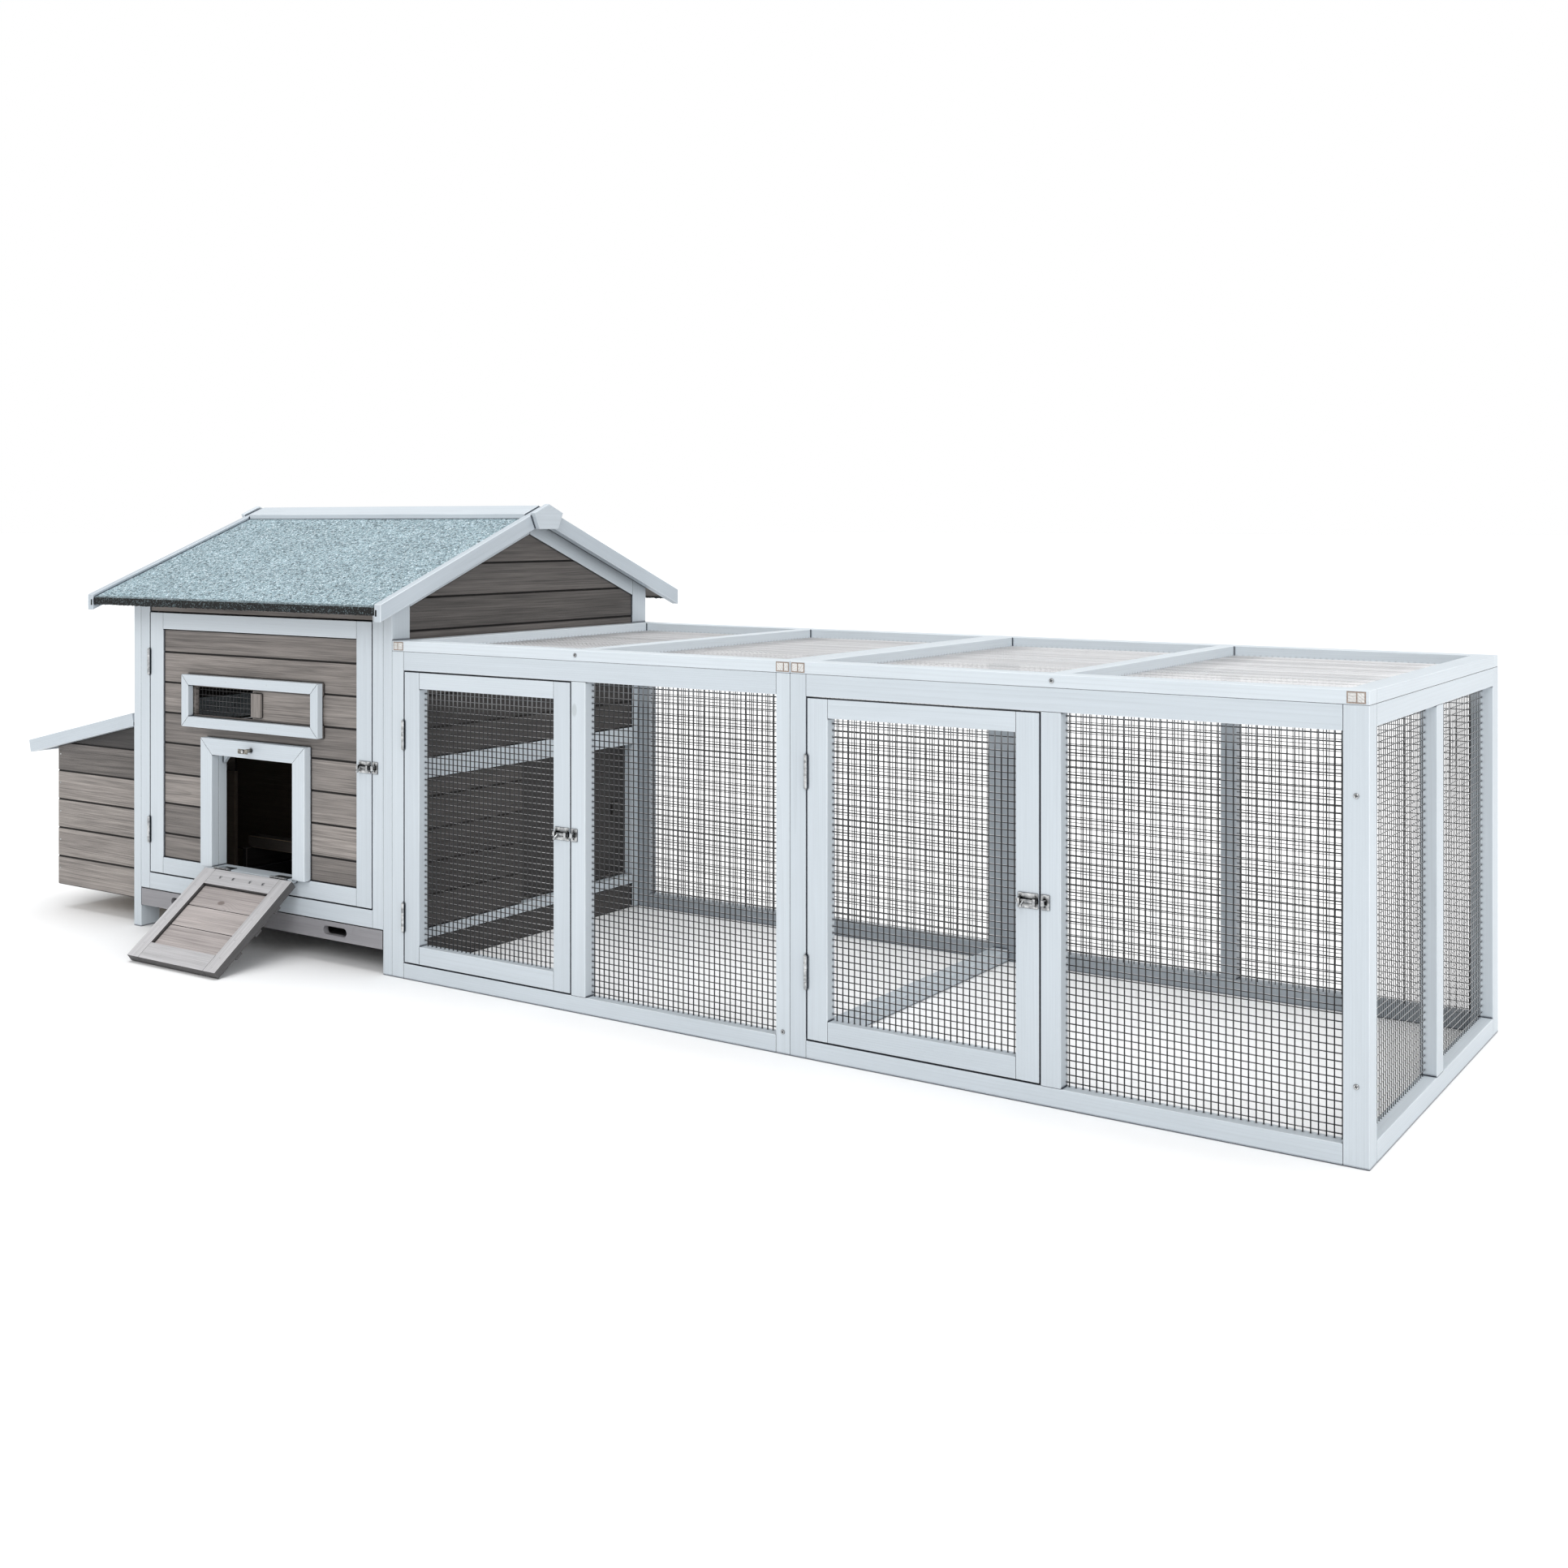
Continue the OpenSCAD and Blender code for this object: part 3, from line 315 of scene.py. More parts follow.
def wire_material():
    """Galvanised wire with painted light: bright on top and dark at its sides by the way its normal faces; a
    high tone paints it pale all round.
    """
    s = Shader("wire_mesh")
    clouds = s.noise(s.place(), WIRE_CLOUD_CELLS, 3.0)
    normal = s.node("ShaderNodeNewGeometry", {}).outputs["Normal"]
    upward = s.node("ShaderNodeSeparateXYZ", {0: normal}).outputs["Z"]
    shaded_wire = s.mix(clouds, (0.012, 0.012, 0.013, 1), (0.035, 0.036, 0.038, 1))
    lit_wire = s.mix(clouds, (0.75, 0.75, 0.76, 1), (0.92, 0.92, 0.93, 1))
    # Painted light from above: the share of the lit colour grows as the wire's normal turns upward, and a
    # high tone paints the whole wire lit
    share = s.math("MAXIMUM", s.span(upward, 0.3, 0.85, 0.0, 0.65), s.attribute("tone", "Fac"))
    s.put(s.surface.inputs["Base Color"], s.mix(share, shaded_wire, lit_wire))
    s.surface.inputs["Metallic"].default_value = 0.3
    s.surface.inputs["Roughness"].default_value = 0.4
    return s.material


def floor_material():
    s = Shader("floor")
    haze = s.noise(s.place(), 1.5, 3.0)
    s.put(s.surface.inputs["Base Color"], s.mix(haze, srgb(244, 245, 246), srgb(250, 250, 250)))
    s.surface.inputs["Roughness"].default_value = 0.9
    return s.material


# A dark brown that stained and bare timber take as painted shade in crevices and on masked faces
PAINTED_SHADE_BROWN = srgb(26, 23, 22)
MATERIALS = {
    # white_paint's slate first colour and bluish crevice colour are painted shade; a white member's tone
    # sets how far it leans towards that slate
    "white_paint": wood(
        "white_paint", (srgb(112, 126, 140), srgb(209, 217, 223)), (0.04, 0.1, 0.08),
        srgb(176, 184, 188), 0.12, srgb(218, 225, 230), 0.42, 0.00012, (0.96, srgb(34, 43, 58)),
    ),
    "grey_stain": wood(
        "grey_stain", (srgb(42, 40, 40), srgb(156, 149, 144)), (0.14, 1.3, 0.6),
        srgb(52, 46, 43), 0.2, srgb(146, 140, 135), 0.62, 0.0004, (0.97, PAINTED_SHADE_BROWN),
    ),
    "ramp_stain": wood(
        "ramp_stain", (srgb(160, 153, 152), srgb(182, 174, 171)), (0.16, 0.7, 0.4),
        srgb(108, 96, 90), 0.5, srgb(192, 187, 184), 0.62, 0.0004, (0.95, PAINTED_SHADE_BROWN),
    ),
    "tray_paint": wood(
        "tray_paint", (srgb(40, 40, 42), srgb(144, 143, 147)), (0.05, 0.3, 0.15),
        srgb(96, 95, 97), 0.1, srgb(156, 156, 158), 0.4, 0.0002, (0.9, PAINTED_SHADE_BROWN),
    ),
    "bare_wood": wood(
        "bare_wood", (srgb(92, 86, 82), srgb(214, 190, 156)), (0.16, 0.4, 0.2),
        srgb(140, 98, 62), 0.3, srgb(222, 200, 168), 0.6, 0.0003, (0.8, PAINTED_SHADE_BROWN),
    ),
    "roof_felt": felt_material(),
    "zinc_steel": metal_material("zinc_steel", (0.64, 0.65, 0.65, 1), (0.3, 0.31, 0.32, 1), 0.22),
    "wire_mesh": wire_material(),
}
RAMP_FRAME_STAIN = wood(
    "ramp_frame_stain", (srgb(178, 177, 179), srgb(190, 189, 191)), (0.1, 0.5, 0.2),
    srgb(140, 136, 137), 0.15, srgb(204, 202, 204), 0.55, 0.0003, (0.95, PAINTED_SHADE_BROWN),
)
# The end grain's brown crevice colour is painted shade around the strips
END_GRAIN = wood(
    "end_grain", (srgb(156, 140, 128), srgb(216, 215, 213)), (0.3, 0.5, 0.2),
    srgb(160, 140, 126), 0.1, srgb(124, 108, 98), 0.6, 0.0003, (0.9, srgb(80, 52, 38)),
)


BUTTON_STEEL = metal_material("button_steel", (0.36, 0.34, 0.3, 1), (0.1, 0.1, 0.09, 1), 0.3)


# ---------- Mesh building ----------


class Build:
    """Collects closed shapes into one mesh, with the values that the materials read."""

    def __init__(self):
        self.points = []
        self.faces = []
        self.grain = []
        self.tone = []
        self.worn = []
        # Face mask of painted shade, from 0 to 1
        self.shade_mask = []
        self.smooth = []

    def add(self, points, faces, grain=None, tone=0.5, worn=None, shade_mask=None, smooth=False):
        start = len(self.points)
        self.points.extend(points)
        self.faces.extend([start + corner for corner in face] for face in faces)
        self.grain.extend(points if grain is None else grain)
        self.tone.extend([tone] * len(points))
        self.worn.extend([0.0] * len(faces) if worn is None else worn)
        self.shade_mask.extend([0.0] * len(faces) if shade_mask is None else shade_mask)
        self.smooth.extend([smooth] * len(faces))

    def finish(self, name, body, slot, material=None, replaces=()):
        mesh = bpy.data.meshes.new(name)
        mesh.from_pydata([tuple(point) for point in self.points], [], self.faces)
        mesh.polygons.foreach_set("use_smooth", self.smooth)
        grain = mesh.attributes.new("grain", "FLOAT_VECTOR", "POINT")
        grain.data.foreach_set("vector", [value for point in self.grain for value in point])
        mesh.attributes.new("tone", "FLOAT", "POINT").data.foreach_set("value", self.tone)
        mesh.attributes.new("worn", "FLOAT", "FACE").data.foreach_set("value", self.worn)
        mesh.attributes.new("shade_mask", "FLOAT", "FACE").data.foreach_set("value", self.shade_mask)
        mesh.materials.append(material or MATERIALS[slot])
        mesh.validate()
        made = bpy.data.objects.new(name, mesh)
        bpy.context.scene.collection.objects.link(made)
        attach(made, body)
        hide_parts(*replaces)
        return made


def chance(name):
    """A repeatable source of random numbers for one piece."""
    return random.Random("chicken coop " + name)


MERGE = 0.02 * MM


def members(node):
    """Each separate solid of a CAD node, as a closed bmesh with its flat faces whole."""
    whole = bmesh.new()
    whole.from_mesh(NODES[node].data)
    bmesh.ops.remove_doubles(whole, verts=whole.verts, dist=MERGE)
    whole.faces.ensure_lookup_table()
    seen = set()
    found = []
    for first in whole.faces:
        if first.index in seen:
            continue
        seen.add(first.index)
        waiting = [first]
        solid = bmesh.new()
        corners = {}
        while waiting:
            face = waiting.pop()
            for vert in face.verts:
                if vert.index not in corners:
                    corners[vert.index] = solid.verts.new(vert.co)
            solid.faces.new([corners[vert.index] for vert in face.verts])
            for edge in face.edges:
                for other in edge.link_faces:
                    if other.index not in seen:
                        seen.add(other.index)
                        waiting.append(other)
        solid.normal_update()
        bmesh.ops.dissolve_limit(
            solid, angle_limit=math.radians(1), verts=solid.verts, edges=solid.edges
        )
        found.append(solid)
    whole.free()
    return found


def middle_of(solid):
    return sum((vert.co for vert in solid.verts), Vector()) / len(solid.verts)


def member_axes(solid):
    """Along the grain, across it, and through the thickness of one member.

    The grain follows the direction in which the member has the most edge.
    """
    lengths = {}
    for edge in solid.edges:
        line = (edge.verts[1].co - edge.verts[0].co).normalized()
        if max(line, key=abs) < 0:
            line = -line
        heading = tuple(round(part, 2) + 0.0 for part in line)
        total, _ = lengths.get(heading, (0.0, line))
        lengths[heading] = (total + round(edge.calc_length(), 5), line)
    along = max(lengths.values(), key=lambda entry: round(entry[0], 4))[1]
    widest = max(solid.faces, key=lambda face: round(face.calc_area(), 7))
    through = widest.normal - widest.normal.dot(along) * along
    if through.length < 0.5:
        through = along.orthogonal()
    through.normalize()
    return along, through.cross(along), through


LOG_LENGTH = 40
PITH_ASIDE = 0.09
PITH_BELOW = (0.02, 0.07)
TILT = (0.008, 0.006)


def log_place(axes, centre, rng):
    """A function from a point to its place in the log that this member was sawn from."""
    start = rng.uniform(0, LOG_LENGTH)
    pith = (rng.uniform(-PITH_ASIDE, PITH_ASIDE), rng.choice((-1, 1)) * rng.uniform(*PITH_BELOW))
    tilt = (rng.uniform(-TILT[0], TILT[0]), rng.uniform(-TILT[1], TILT[1]))

    def place(point):
        along, across, through = ((point - centre).dot(axis) for axis in axes)
        return (start + along, across + pith[0] + tilt[0] * along, through + pith[1] + tilt[1] * along)

    return place


SHARP = math.radians(50)
CHAMFER_LEAN = (0.5, 0.9)
ALONG_GRAIN = 0.3


def add_timber(build, solid, rng, tone, edge, axes=None, shade=None):
    """Adds one member with its sharp edges broken and painted shade on the chamfers of its long edges.

    The function shade gives the strength of painted shade on the other faces from their centre and their
    normal, and from how squarely they face through the thickness.
    """
    axes = axes or member_axes(solid)
    along, _, through = axes
    place = log_place(axes, middle_of(solid), rng)
    sharp = [e for e in solid.edges if len(e.link_faces) == 2 and e.calc_face_angle() > SHARP]
    broken = bmesh.ops.bevel(
        solid, geom=sharp, offset=edge, segments=2, profile=0.5, affect="EDGES", clamp_overlap=True
    )
    rubbed = set(broken["faces"])
    solid.verts.index_update()
    solid.normal_update()
    points = [vert.co.copy() for vert in solid.verts]
    faces = [[vert.index for vert in face.verts] for face in solid.faces]
    worn = []
    shade_mask = []
    for face in solid.faces:
        lean = abs(face.normal.dot(through))
        slanted = CHAMFER_LEAN[0] < lean < CHAMFER_LEAN[1]
        chamfer = face not in rubbed and slanted and abs(face.normal.dot(along)) < ALONG_GRAIN
        worn.append(1.0 if face in rubbed else 0.0)
        other = shade(face.calc_center_median(), face.normal, lean) if shade else 0.0
        # Chamfers get full painted shade, as in the grooves of boarding; other faces get the painted shade
        # that shade gives
        shade_mask.append(1.0 if chamfer else other)
    build.add(points, faces, [place(point) for point in points], tone, worn, shade_mask)
    solid.free()


def timber_piece(node, tones=(0, 1), edge=1.2, material=None, bands=(), shade=None):
    """Stands for a CAD node of wooden members; bands holds heights and the tones below each."""
    rng = chance(node)
    build = Build()
    for solid in members(node):
        height = middle_of(solid).z
        chosen = next((band for top, band in bands if height < top), tones)
        add_timber(build, solid, rng, rng.uniform(*chosen), edge * MM, None, shade)
    build.finish(node + "_wood", BODY_OF[node], SLOT_OF[node], material, [node])


# ---------- Timber ----------

WOOD_SLOTS = ("white_paint", "grey_stain", "ramp_stain", "tray_paint", "bare_wood")
RUN_ROOF_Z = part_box("run_roof_frames")[0].z
FRAME_EDGE = 1.2
PLANK_EDGE = 0.5
# Tone ranges per node; low tones take each wood's dark first colour. Some are painted light and shade: the
# right side wall's planks are dark as the shaded side; the side door panel and tracks, perch holders,
# perches, tray box, roof decks, nest floor and dividers are dark as painted shade inside the house and run;
# the run's roof frames are paler as painted light from above; the nest box's upper planks are dark as
# painted shadow under the lid.
TONES = {
    "right_side_planks": (0.2, 0.32),
    "left_side_planks": (0.5, 0.7),
    "back_planks": (0.6, 0.8),
    "front_top_board": (0.5, 0.55),
    "front_door_planks": (0.36, 0.85),
    "barge_boards": (0.6, 0.66),
    "nest_lid": (0.66, 0.72),
    "run_roof_frames": (0.9, 0.95),
    "nest_walls": (0.0, 0.05),
    "side_door_panel": (0.0, 0.05),
    "side_door_tracks": (0.0, 0.1),
    "perch_holders": (0.0, 0.1),
    "window_tracks": (0.4, 0.5),
    "window_shutter": (0.7, 0.8),
    "tray_front": (0.9, 1.0),
    "tray_box": (0.0, 0.1),
    "perches": (0.0, 0.1),
    "roof_decks": (0.0, 0.1),
    "nest_floor": (0.2, 0.3),
    "nest_dividers": (0.05, 0.15),
}
WHITE_TONES = (0.78, 0.86)
# Painted shade by height: below the run's roof the right side wall's planks are darker, as painted shade
# inside the run; the nest box's planks are pale low down, darker higher up and darkest under the lid, as
# painted shadow of the lid
TONE_BANDS = {
    "right_side_planks": ((RUN_ROOF_Z, (0.04, 0.14)),),
    "nest_walls": ((0.34, (0.74, 0.88)), (0.44, (0.34, 0.42))),
}
# Strengths of painted shade on masked faces
SIDE_SHADE = 0.9
BACK_SHADE = 0.45
TOP_RAIL_H = 0.045
INSIDE_SHADE = 0.8
INSIDE_REACH = 0.3
HOUSE_MIDDLE = at(-457, 457, 450)


# Each shade takes a face's centre and normal, and how squarely it faces through the thickness
def side_shade(centre, normal, lean):
    """Painted shade on the narrow sides of a member."""
    return SIDE_SHADE if lean < 0.5 else 0.0


def inside_shade(centre, normal, lean):
    """Painted shade on the faces that look into the house."""
    return INSIDE_SHADE if normal.dot(HOUSE_MIDDLE - centre) > INSIDE_REACH else 0.0


def back_shade(centre, normal, lean):
    """Painted shade below the top rail, on all faces but the outer ones."""
    return BACK_SHADE if normal.y < 0.5 and centre.z < RUN_ROOF_Z - TOP_RAIL_H else 0.0


SHADES = {
    "run_back_frames": back_shade,
    "ramp_frame": side_shade,
    "ramp_cleats": side_shade,
    "back_planks": inside_shade,
    "left_side_planks": inside_shade,
    "right_side_planks": inside_shade,
    "roof_decks": inside_shade,
}
THIN_NODES = (
    "right_side_planks", "left_side_planks", "back_planks", "front_door_planks", "nest_walls",
    "window_tracks", "window_shutter", "tray_box", "nest_floor", "nest_dividers", "roof_decks",
)

for node in sorted(NODES):
    if SLOT_OF[node] in WOOD_SLOTS:
        timber_piece(
            node,
            TONES.get(node, WHITE_TONES if SLOT_OF[node] == "white_paint" else (0.0, 1.0)),
            PLANK_EDGE if node in THIN_NODES else FRAME_EDGE,
            RAMP_FRAME_STAIN if node in ("ramp_frame", "ramp_cleats") else None,
            TONE_BANDS.get(node, ()),
            SHADES.get(node),
        )


# ---------- Roofing felt ----------

FELT_STEP = 4 * MM
FELT_BANDS = 12
DECK_TIMES_FELT = 4
FOLD_RADIUS = 4 * MM
FOLD_TUCK = 8 * MM
FELT_ROUGH = 1.6 * MM
ROUGH_SCALES = (260, 300)
ROUGH_LIFT = 0.2
ROUGH_OUT = 0.6
ROUGH_SHIFT = Vector((7, 3, 5))
LAP_TOP = 0.6
LAP_UNDER = 0.1
DECK_GAP = 0.1 * MM
FOLD_STRIP = 9 * MM
STRIP_WEAR_AND_SHADE = 0.55


def felt_profile(length, thickness):
    """Outer and inner line of a sheet from its covered edge over the fold, as (out, down) pairs."""
    drop = thickness * (1 + DECK_TIMES_FELT)
    wrap = 0.5 * thickness
    outer = [(length * i / FELT_BANDS, 0.0) for i in range(FELT_BANDS)]
    outer.append((length - FOLD_STRIP, 0.0))
    outer += [
        (
            length + wrap - FOLD_RADIUS * (1 - math.sin(math.radians(turn))),
            FOLD_RADIUS * (1 - math.cos(math.radians(turn))),
        )
        for turn in (0, 30, 60, 90)
    ]
    outer += [(length + wrap, FOLD_RADIUS + (drop - FOLD_RADIUS) * i / 3) for i in (1, 2, 3)]
    lap = drop + LAP_TOP * thickness
    under = drop + LAP_UNDER * thickness
    outer += [(length, lap), (length - FOLD_TUCK, lap)]
    inner = [(length - FOLD_TUCK, under), (length + DECK_GAP, under)]
    inner += [(length + DECK_GAP, thickness), (0.0, thickness)]
    return outer, inner


def add_felt(build, start, along, out, down, size):
    """A felt sheet laid from its covered edge towards out, and folded along down at the far edge."""
    width, length = size
    thickness = down.length
    down = down.normalized()
    outer, inner = felt_profile(length, thickness)
    columns = max(2, round(width / FELT_STEP))
    line = outer + inner
    first_bend = FELT_BANDS + 2
    points = []
    for column in range(columns + 1):
        head = start + along * (width * column / columns)
        for i, (reach, drop) in enumerate(line):
            point = head + out * reach + down * drop
            if first_bend < i < len(outer):
                lift = noise.noise(point * ROUGH_SCALES[0]) - ROUGH_LIFT
                point = point - down * FELT_ROUGH * lift
                reach_out = noise.noise(point * ROUGH_SCALES[1] + ROUGH_SHIFT)
                point = point + out * FELT_ROUGH * ROUGH_OUT * reach_out
            points.append(point)
    count = len(line)
    faces = []
    worn = []
    for column in range(columns):
        low = column * count
        for i in range(count):
            after = (i + 1) % count
            faces.append([low + i, low + count + i, low + count + after, low + after])
            folded = 1.0 if first_bend <= i < len(outer) else 0.0
            # The fold takes the felt's dark fold colour, partly painted shade, and the strip just before it
            # takes part of that colour
            worn.append(STRIP_WEAR_AND_SHADE if first_bend - 2 <= i < first_bend else folded)
    faces.append(list(range(count)))
    faces.append([columns * count + i for i in reversed(range(count))])
    worn.extend([1.0, 1.0])
    build.add(points, faces, worn=worn, smooth=False)


def felt_piece(node):
    """Stands for a CAD node of felt sheets, which slope down towards the edge that is folded."""
    build = Build()
    for solid in members(node):
        points = sorted((vert.co.copy() for vert in solid.verts), key=lambda p: p.z)
        under, lows, highs = (
            sorted(edge, key=lambda p: (round(p.x, 4), round(p.y, 4)))
            for edge in (points[:2], points[2:4], points[6:8])
        )
        along = highs[1] - highs[0]
        out = lows[0] - highs[0]
        start = highs[0]
        if along.cross(out).z < 0:
            along = -along
            start = highs[1]
        size = (along.length, out.length)
        add_felt(build, start, along.normalized(), out.normalized(), under[0] - lows[0], size)
        solid.free()
    build.finish(node + "_sheet", BODY_OF[node], SLOT_OF[node], None, [node])


felt_piece("roof_felt")
felt_piece("nest_lid_felt")


# ---------- Welded mesh ----------

MESH_PITCH = 12.7 * MM
# Radius and tone of the wires in sheets that face along x, y and z; the high tones of the sheets that face
# along z paint the roof's wires pale all round, as painted light from above
WIRE_RADII = (0.85 * MM, 1.25 * MM, 0.5 * MM)
WIRE_TONES = ((0.0, 0.0), (0.0, 0.0), (0.72, 1.0))
BACK_WIRE_RADIUS = 0.95 * MM
WINDOW_RADII = (0.4 * MM,) * 3
WINDOW_TONES = ((0.03, 0.08),) * 3
WIRE_SIDES = 6
WIRE_STEP = 90 * MM
SLACK = 1.0 * MM
SLACK_REACH = 60 * MM
SLACK_WAVES = 7
PITCH_ERROR = 0.15 * MM
WELD = 0.9


def add_wire(build, line, radius, tone):
    """A straight run of wire through the points of line."""
    direction = (line[-1] - line[0]).normalized()
    side = direction.orthogonal().normalized()
    other = direction.cross(side)
    ring = [
        side * math.cos(math.tau * k / WIRE_SIDES) + other * math.sin(math.tau * k / WIRE_SIDES)
        for k in range(WIRE_SIDES)
    ]
    points = [place + radius * spoke for place in line for spoke in ring]
    faces = []
    for i in range(len(line) - 1):
        for k in range(WIRE_SIDES):
            after = (k + 1) % WIRE_SIDES
            low = i * WIRE_SIDES
            faces.append([low + k, low + after, low + WIRE_SIDES + after, low + WIRE_SIDES + k])
    last = (len(line) - 1) * WIRE_SIDES
    faces.append(list(reversed(range(WIRE_SIDES))))
    faces.append([last + k for k in range(WIRE_SIDES)])
    build.add(points, faces, tone=tone, smooth=True)


def add_mesh_sheet(build, low, high, rng, radii, tones):
    """Welded mesh that fills a flat box, a little slack between its fixed edges."""
    size = high - low
    thin = min(range(3), key=lambda axis: size[axis])
    first, second = (axis for axis in range(3) if axis != thin)
    middle = (low[thin] + high[thin]) / 2
    seed = Vector((rng.uniform(0, 50), rng.uniform(0, 50), 0))

    def bulge(a, b):
        held = min(a, size[first] - a, b, size[second] - b) / SLACK_REACH
        place = seed + Vector((a * SLACK_WAVES, b * SLACK_WAVES, 0))
        return SLACK * min(1, max(0, held)) * noise.noise(place)

    at_back = thin == 1 and low.y > HOUSE_MIDDLE.y
    radius = BACK_WIRE_RADIUS if at_back else radii[thin]
    for run, step, offset in ((first, second, radius), (second, first, -radius)):
        count = int(size[step] / MESH_PITCH)
        margin = (size[step] - (count - 1) * MESH_PITCH) / 2
        pieces = max(1, round(size[run] / WIRE_STEP))
        for k in range(count):
            place = margin + k * MESH_PITCH + rng.uniform(-PITCH_ERROR, PITCH_ERROR)
            line = []
            for i in range(pieces + 1):
                reach = size[run] * i / pieces
                point = Vector(low)
                point[run] += reach
                point[step] += place
                pair = (reach, place) if run == first else (place, reach)
                point[thin] = middle + offset * WELD + bulge(*pair)
                line.append(point)
            add_wire(build, line, radius, rng.uniform(*tones[thin]))


def mesh_piece(node, radii=WIRE_RADII, tones=WIRE_TONES):
    """Stands for a CAD node of flat sheets with the wires of welded mesh."""
    rng = chance(node)
    build = Build()
    for solid in members(node):
        low = Vector([min(vert.co[axis] for vert in solid.verts) for axis in range(3)])
        high = Vector([max(vert.co[axis] for vert in solid.verts) for axis in range(3)])
        add_mesh_sheet(build, low, high, rng, radii, tones)
        solid.free()
    build.finish(node + "_wires", BODY_OF[node], SLOT_OF[node], None, [node])


for node in ("run_mesh", "run_door_1_mesh", "run_door_2_mesh"):
    mesh_piece(node)
mesh_piece("window_mesh", WINDOW_RADII, WINDOW_TONES)


# ---------- Screws and nails ----------

HEAD_SEGMENTS = 32
HEAD_RINGS = (0.16, 0.3, 0.42, 0.52, 0.64, 0.82, 0.95, 1.0)
RECESS_REACH = 0.6
RECESS_HALF = 0.13
RECESS_DEPTH = 0.5
DOME = 0.8
HEAD_SUNK = 0.3 * MM


def facing(point, outward, turn=0.0):
    """A frame at a point with its z axis along outward, turned about it."""
    rotation = Vector(outward).to_track_quat("Z", "Y").to_matrix().to_4x4()
    return Matrix.Translation(point) @ rotation @ Matrix.Rotation(turn, 4, "Z")


def add_screw(build, place, radius, rise):
    """A domed screw head with a cross recess."""
    points = [place @ Vector((0, 0, rise - RECESS_DEPTH * radius))]
    for share in HEAD_RINGS:
        for k in range(HEAD_SEGMENTS):
            turn = math.tau * k / HEAD_SEGMENTS
            x, y = share * math.cos(turn), share * math.sin(turn)
            height = rise * math.sqrt(1 - DOME * share * share)
            if share < RECESS_REACH and min(abs(x), abs(y)) < RECESS_HALF:
                height -= RECESS_DEPTH * radius * (1 - 0.5 * share / RECESS_REACH)
            points.append(place @ Vector((x * radius, y * radius, height)))
    base = len(points)
    for k in range(HEAD_SEGMENTS):
        turn = math.tau * k / HEAD_SEGMENTS
        points.append(place @ Vector((radius * math.cos(turn), radius * math.sin(turn), -HEAD_SUNK)))
    faces = [[0, 1 + k, 1 + (k + 1) % HEAD_SEGMENTS] for k in range(HEAD_SEGMENTS)]
    for ring in range(len(HEAD_RINGS)):
        low = 1 + ring * HEAD_SEGMENTS
        for k in range(HEAD_SEGMENTS):
            after = (k + 1) % HEAD_SEGMENTS
            faces.append([low + k, low + HEAD_SEGMENTS + k, low + HEAD_SEGMENTS + after, low + after])
    faces.append([base + k for k in reversed(range(HEAD_SEGMENTS))])
    build.add(points, faces, smooth=False)


NAIL_SIDES = 12
NAIL_TOP = 0.25 * MM
# Share of the radius and height of each ring of a nail head
NAIL_RINGS = ((0.55, 0.2 * MM), (1.0, 0.0), (1.0, -0.3 * MM))


def add_nail(build, place, radius):
    """A small round nail head, hardly domed."""
    points = [place @ Vector((0, 0, NAIL_TOP))]
    for share, height in NAIL_RINGS:
        for k in range(NAIL_SIDES):
            turn = math.tau * k / NAIL_SIDES
            x, y = share * radius * math.cos(turn), share * radius * math.sin(turn)
            points.append(place @ Vector((x, y, height)))
    faces = [[0, 1 + k, 1 + (k + 1) % NAIL_SIDES] for k in range(NAIL_SIDES)]
    last = 1 + (len(NAIL_RINGS) - 1) * NAIL_SIDES
    for low in range(1, last, NAIL_SIDES):
        for k in range(NAIL_SIDES):
            after = (k + 1) % NAIL_SIDES
            faces.append([low + k, low + NAIL_SIDES + k, low + NAIL_SIDES + after, low + after])
    faces.append([last + k for k in reversed(range(NAIL_SIDES))])
    build.add(points, faces, smooth=True)


def screw_piece(name, body, places, radius=3.2, rise=1.3, replaces=()):
    """Screw heads at places, each a point and the direction its head faces."""
    rng = chance(name)
    build = Build()
    for point, outward in places:
        add_screw(build, facing(point, outward, rng.uniform(0, math.tau)), radius * MM, rise * MM)
    build.finish(name, body, "zinc_steel", None, replaces)


def nail_piece(name, body, places, radius=1.3):
    """Nail heads at places, each a point and the direction its head faces."""
    build = Build()
    for point, outward in places:
        add_nail(build, facing(point, outward), radius * MM)
    build.finish(name, body, "zinc_steel")


FRONT = (0, -1, 0)
BACK = (0, 1, 0)
LEFT = (-1, 0, 0)
NEST_HOUSE_W = 915
NEST_LEAF_Z = 551


def node_boxes(node):
    """The box of each solid of a CAD node, from left to right."""
    boxes = []
    for solid in members(node):
        low = Vector([min(vert.co[axis] for vert in solid.verts) for axis in range(3)])
        high = Vector([max(vert.co[axis] for vert in solid.verts) for axis in range(3)])
        boxes.append((low, high))
        solid.free()
    return sorted(boxes, key=lambda box: (round(box[0].x, 4), round(box[0].z, 4)))


# The run's frame screws stand where the CAD's plain heads are
head_places = []
for low, high in node_boxes("frame_screws"):
    head_places.append((Vector(((low.x + high.x) / 2, high.y, (low.z + high.z) / 2)), FRONT))
screw_piece("run_frame_screws", "coop", head_places, 4.0, 1.5, ["frame_screws"])

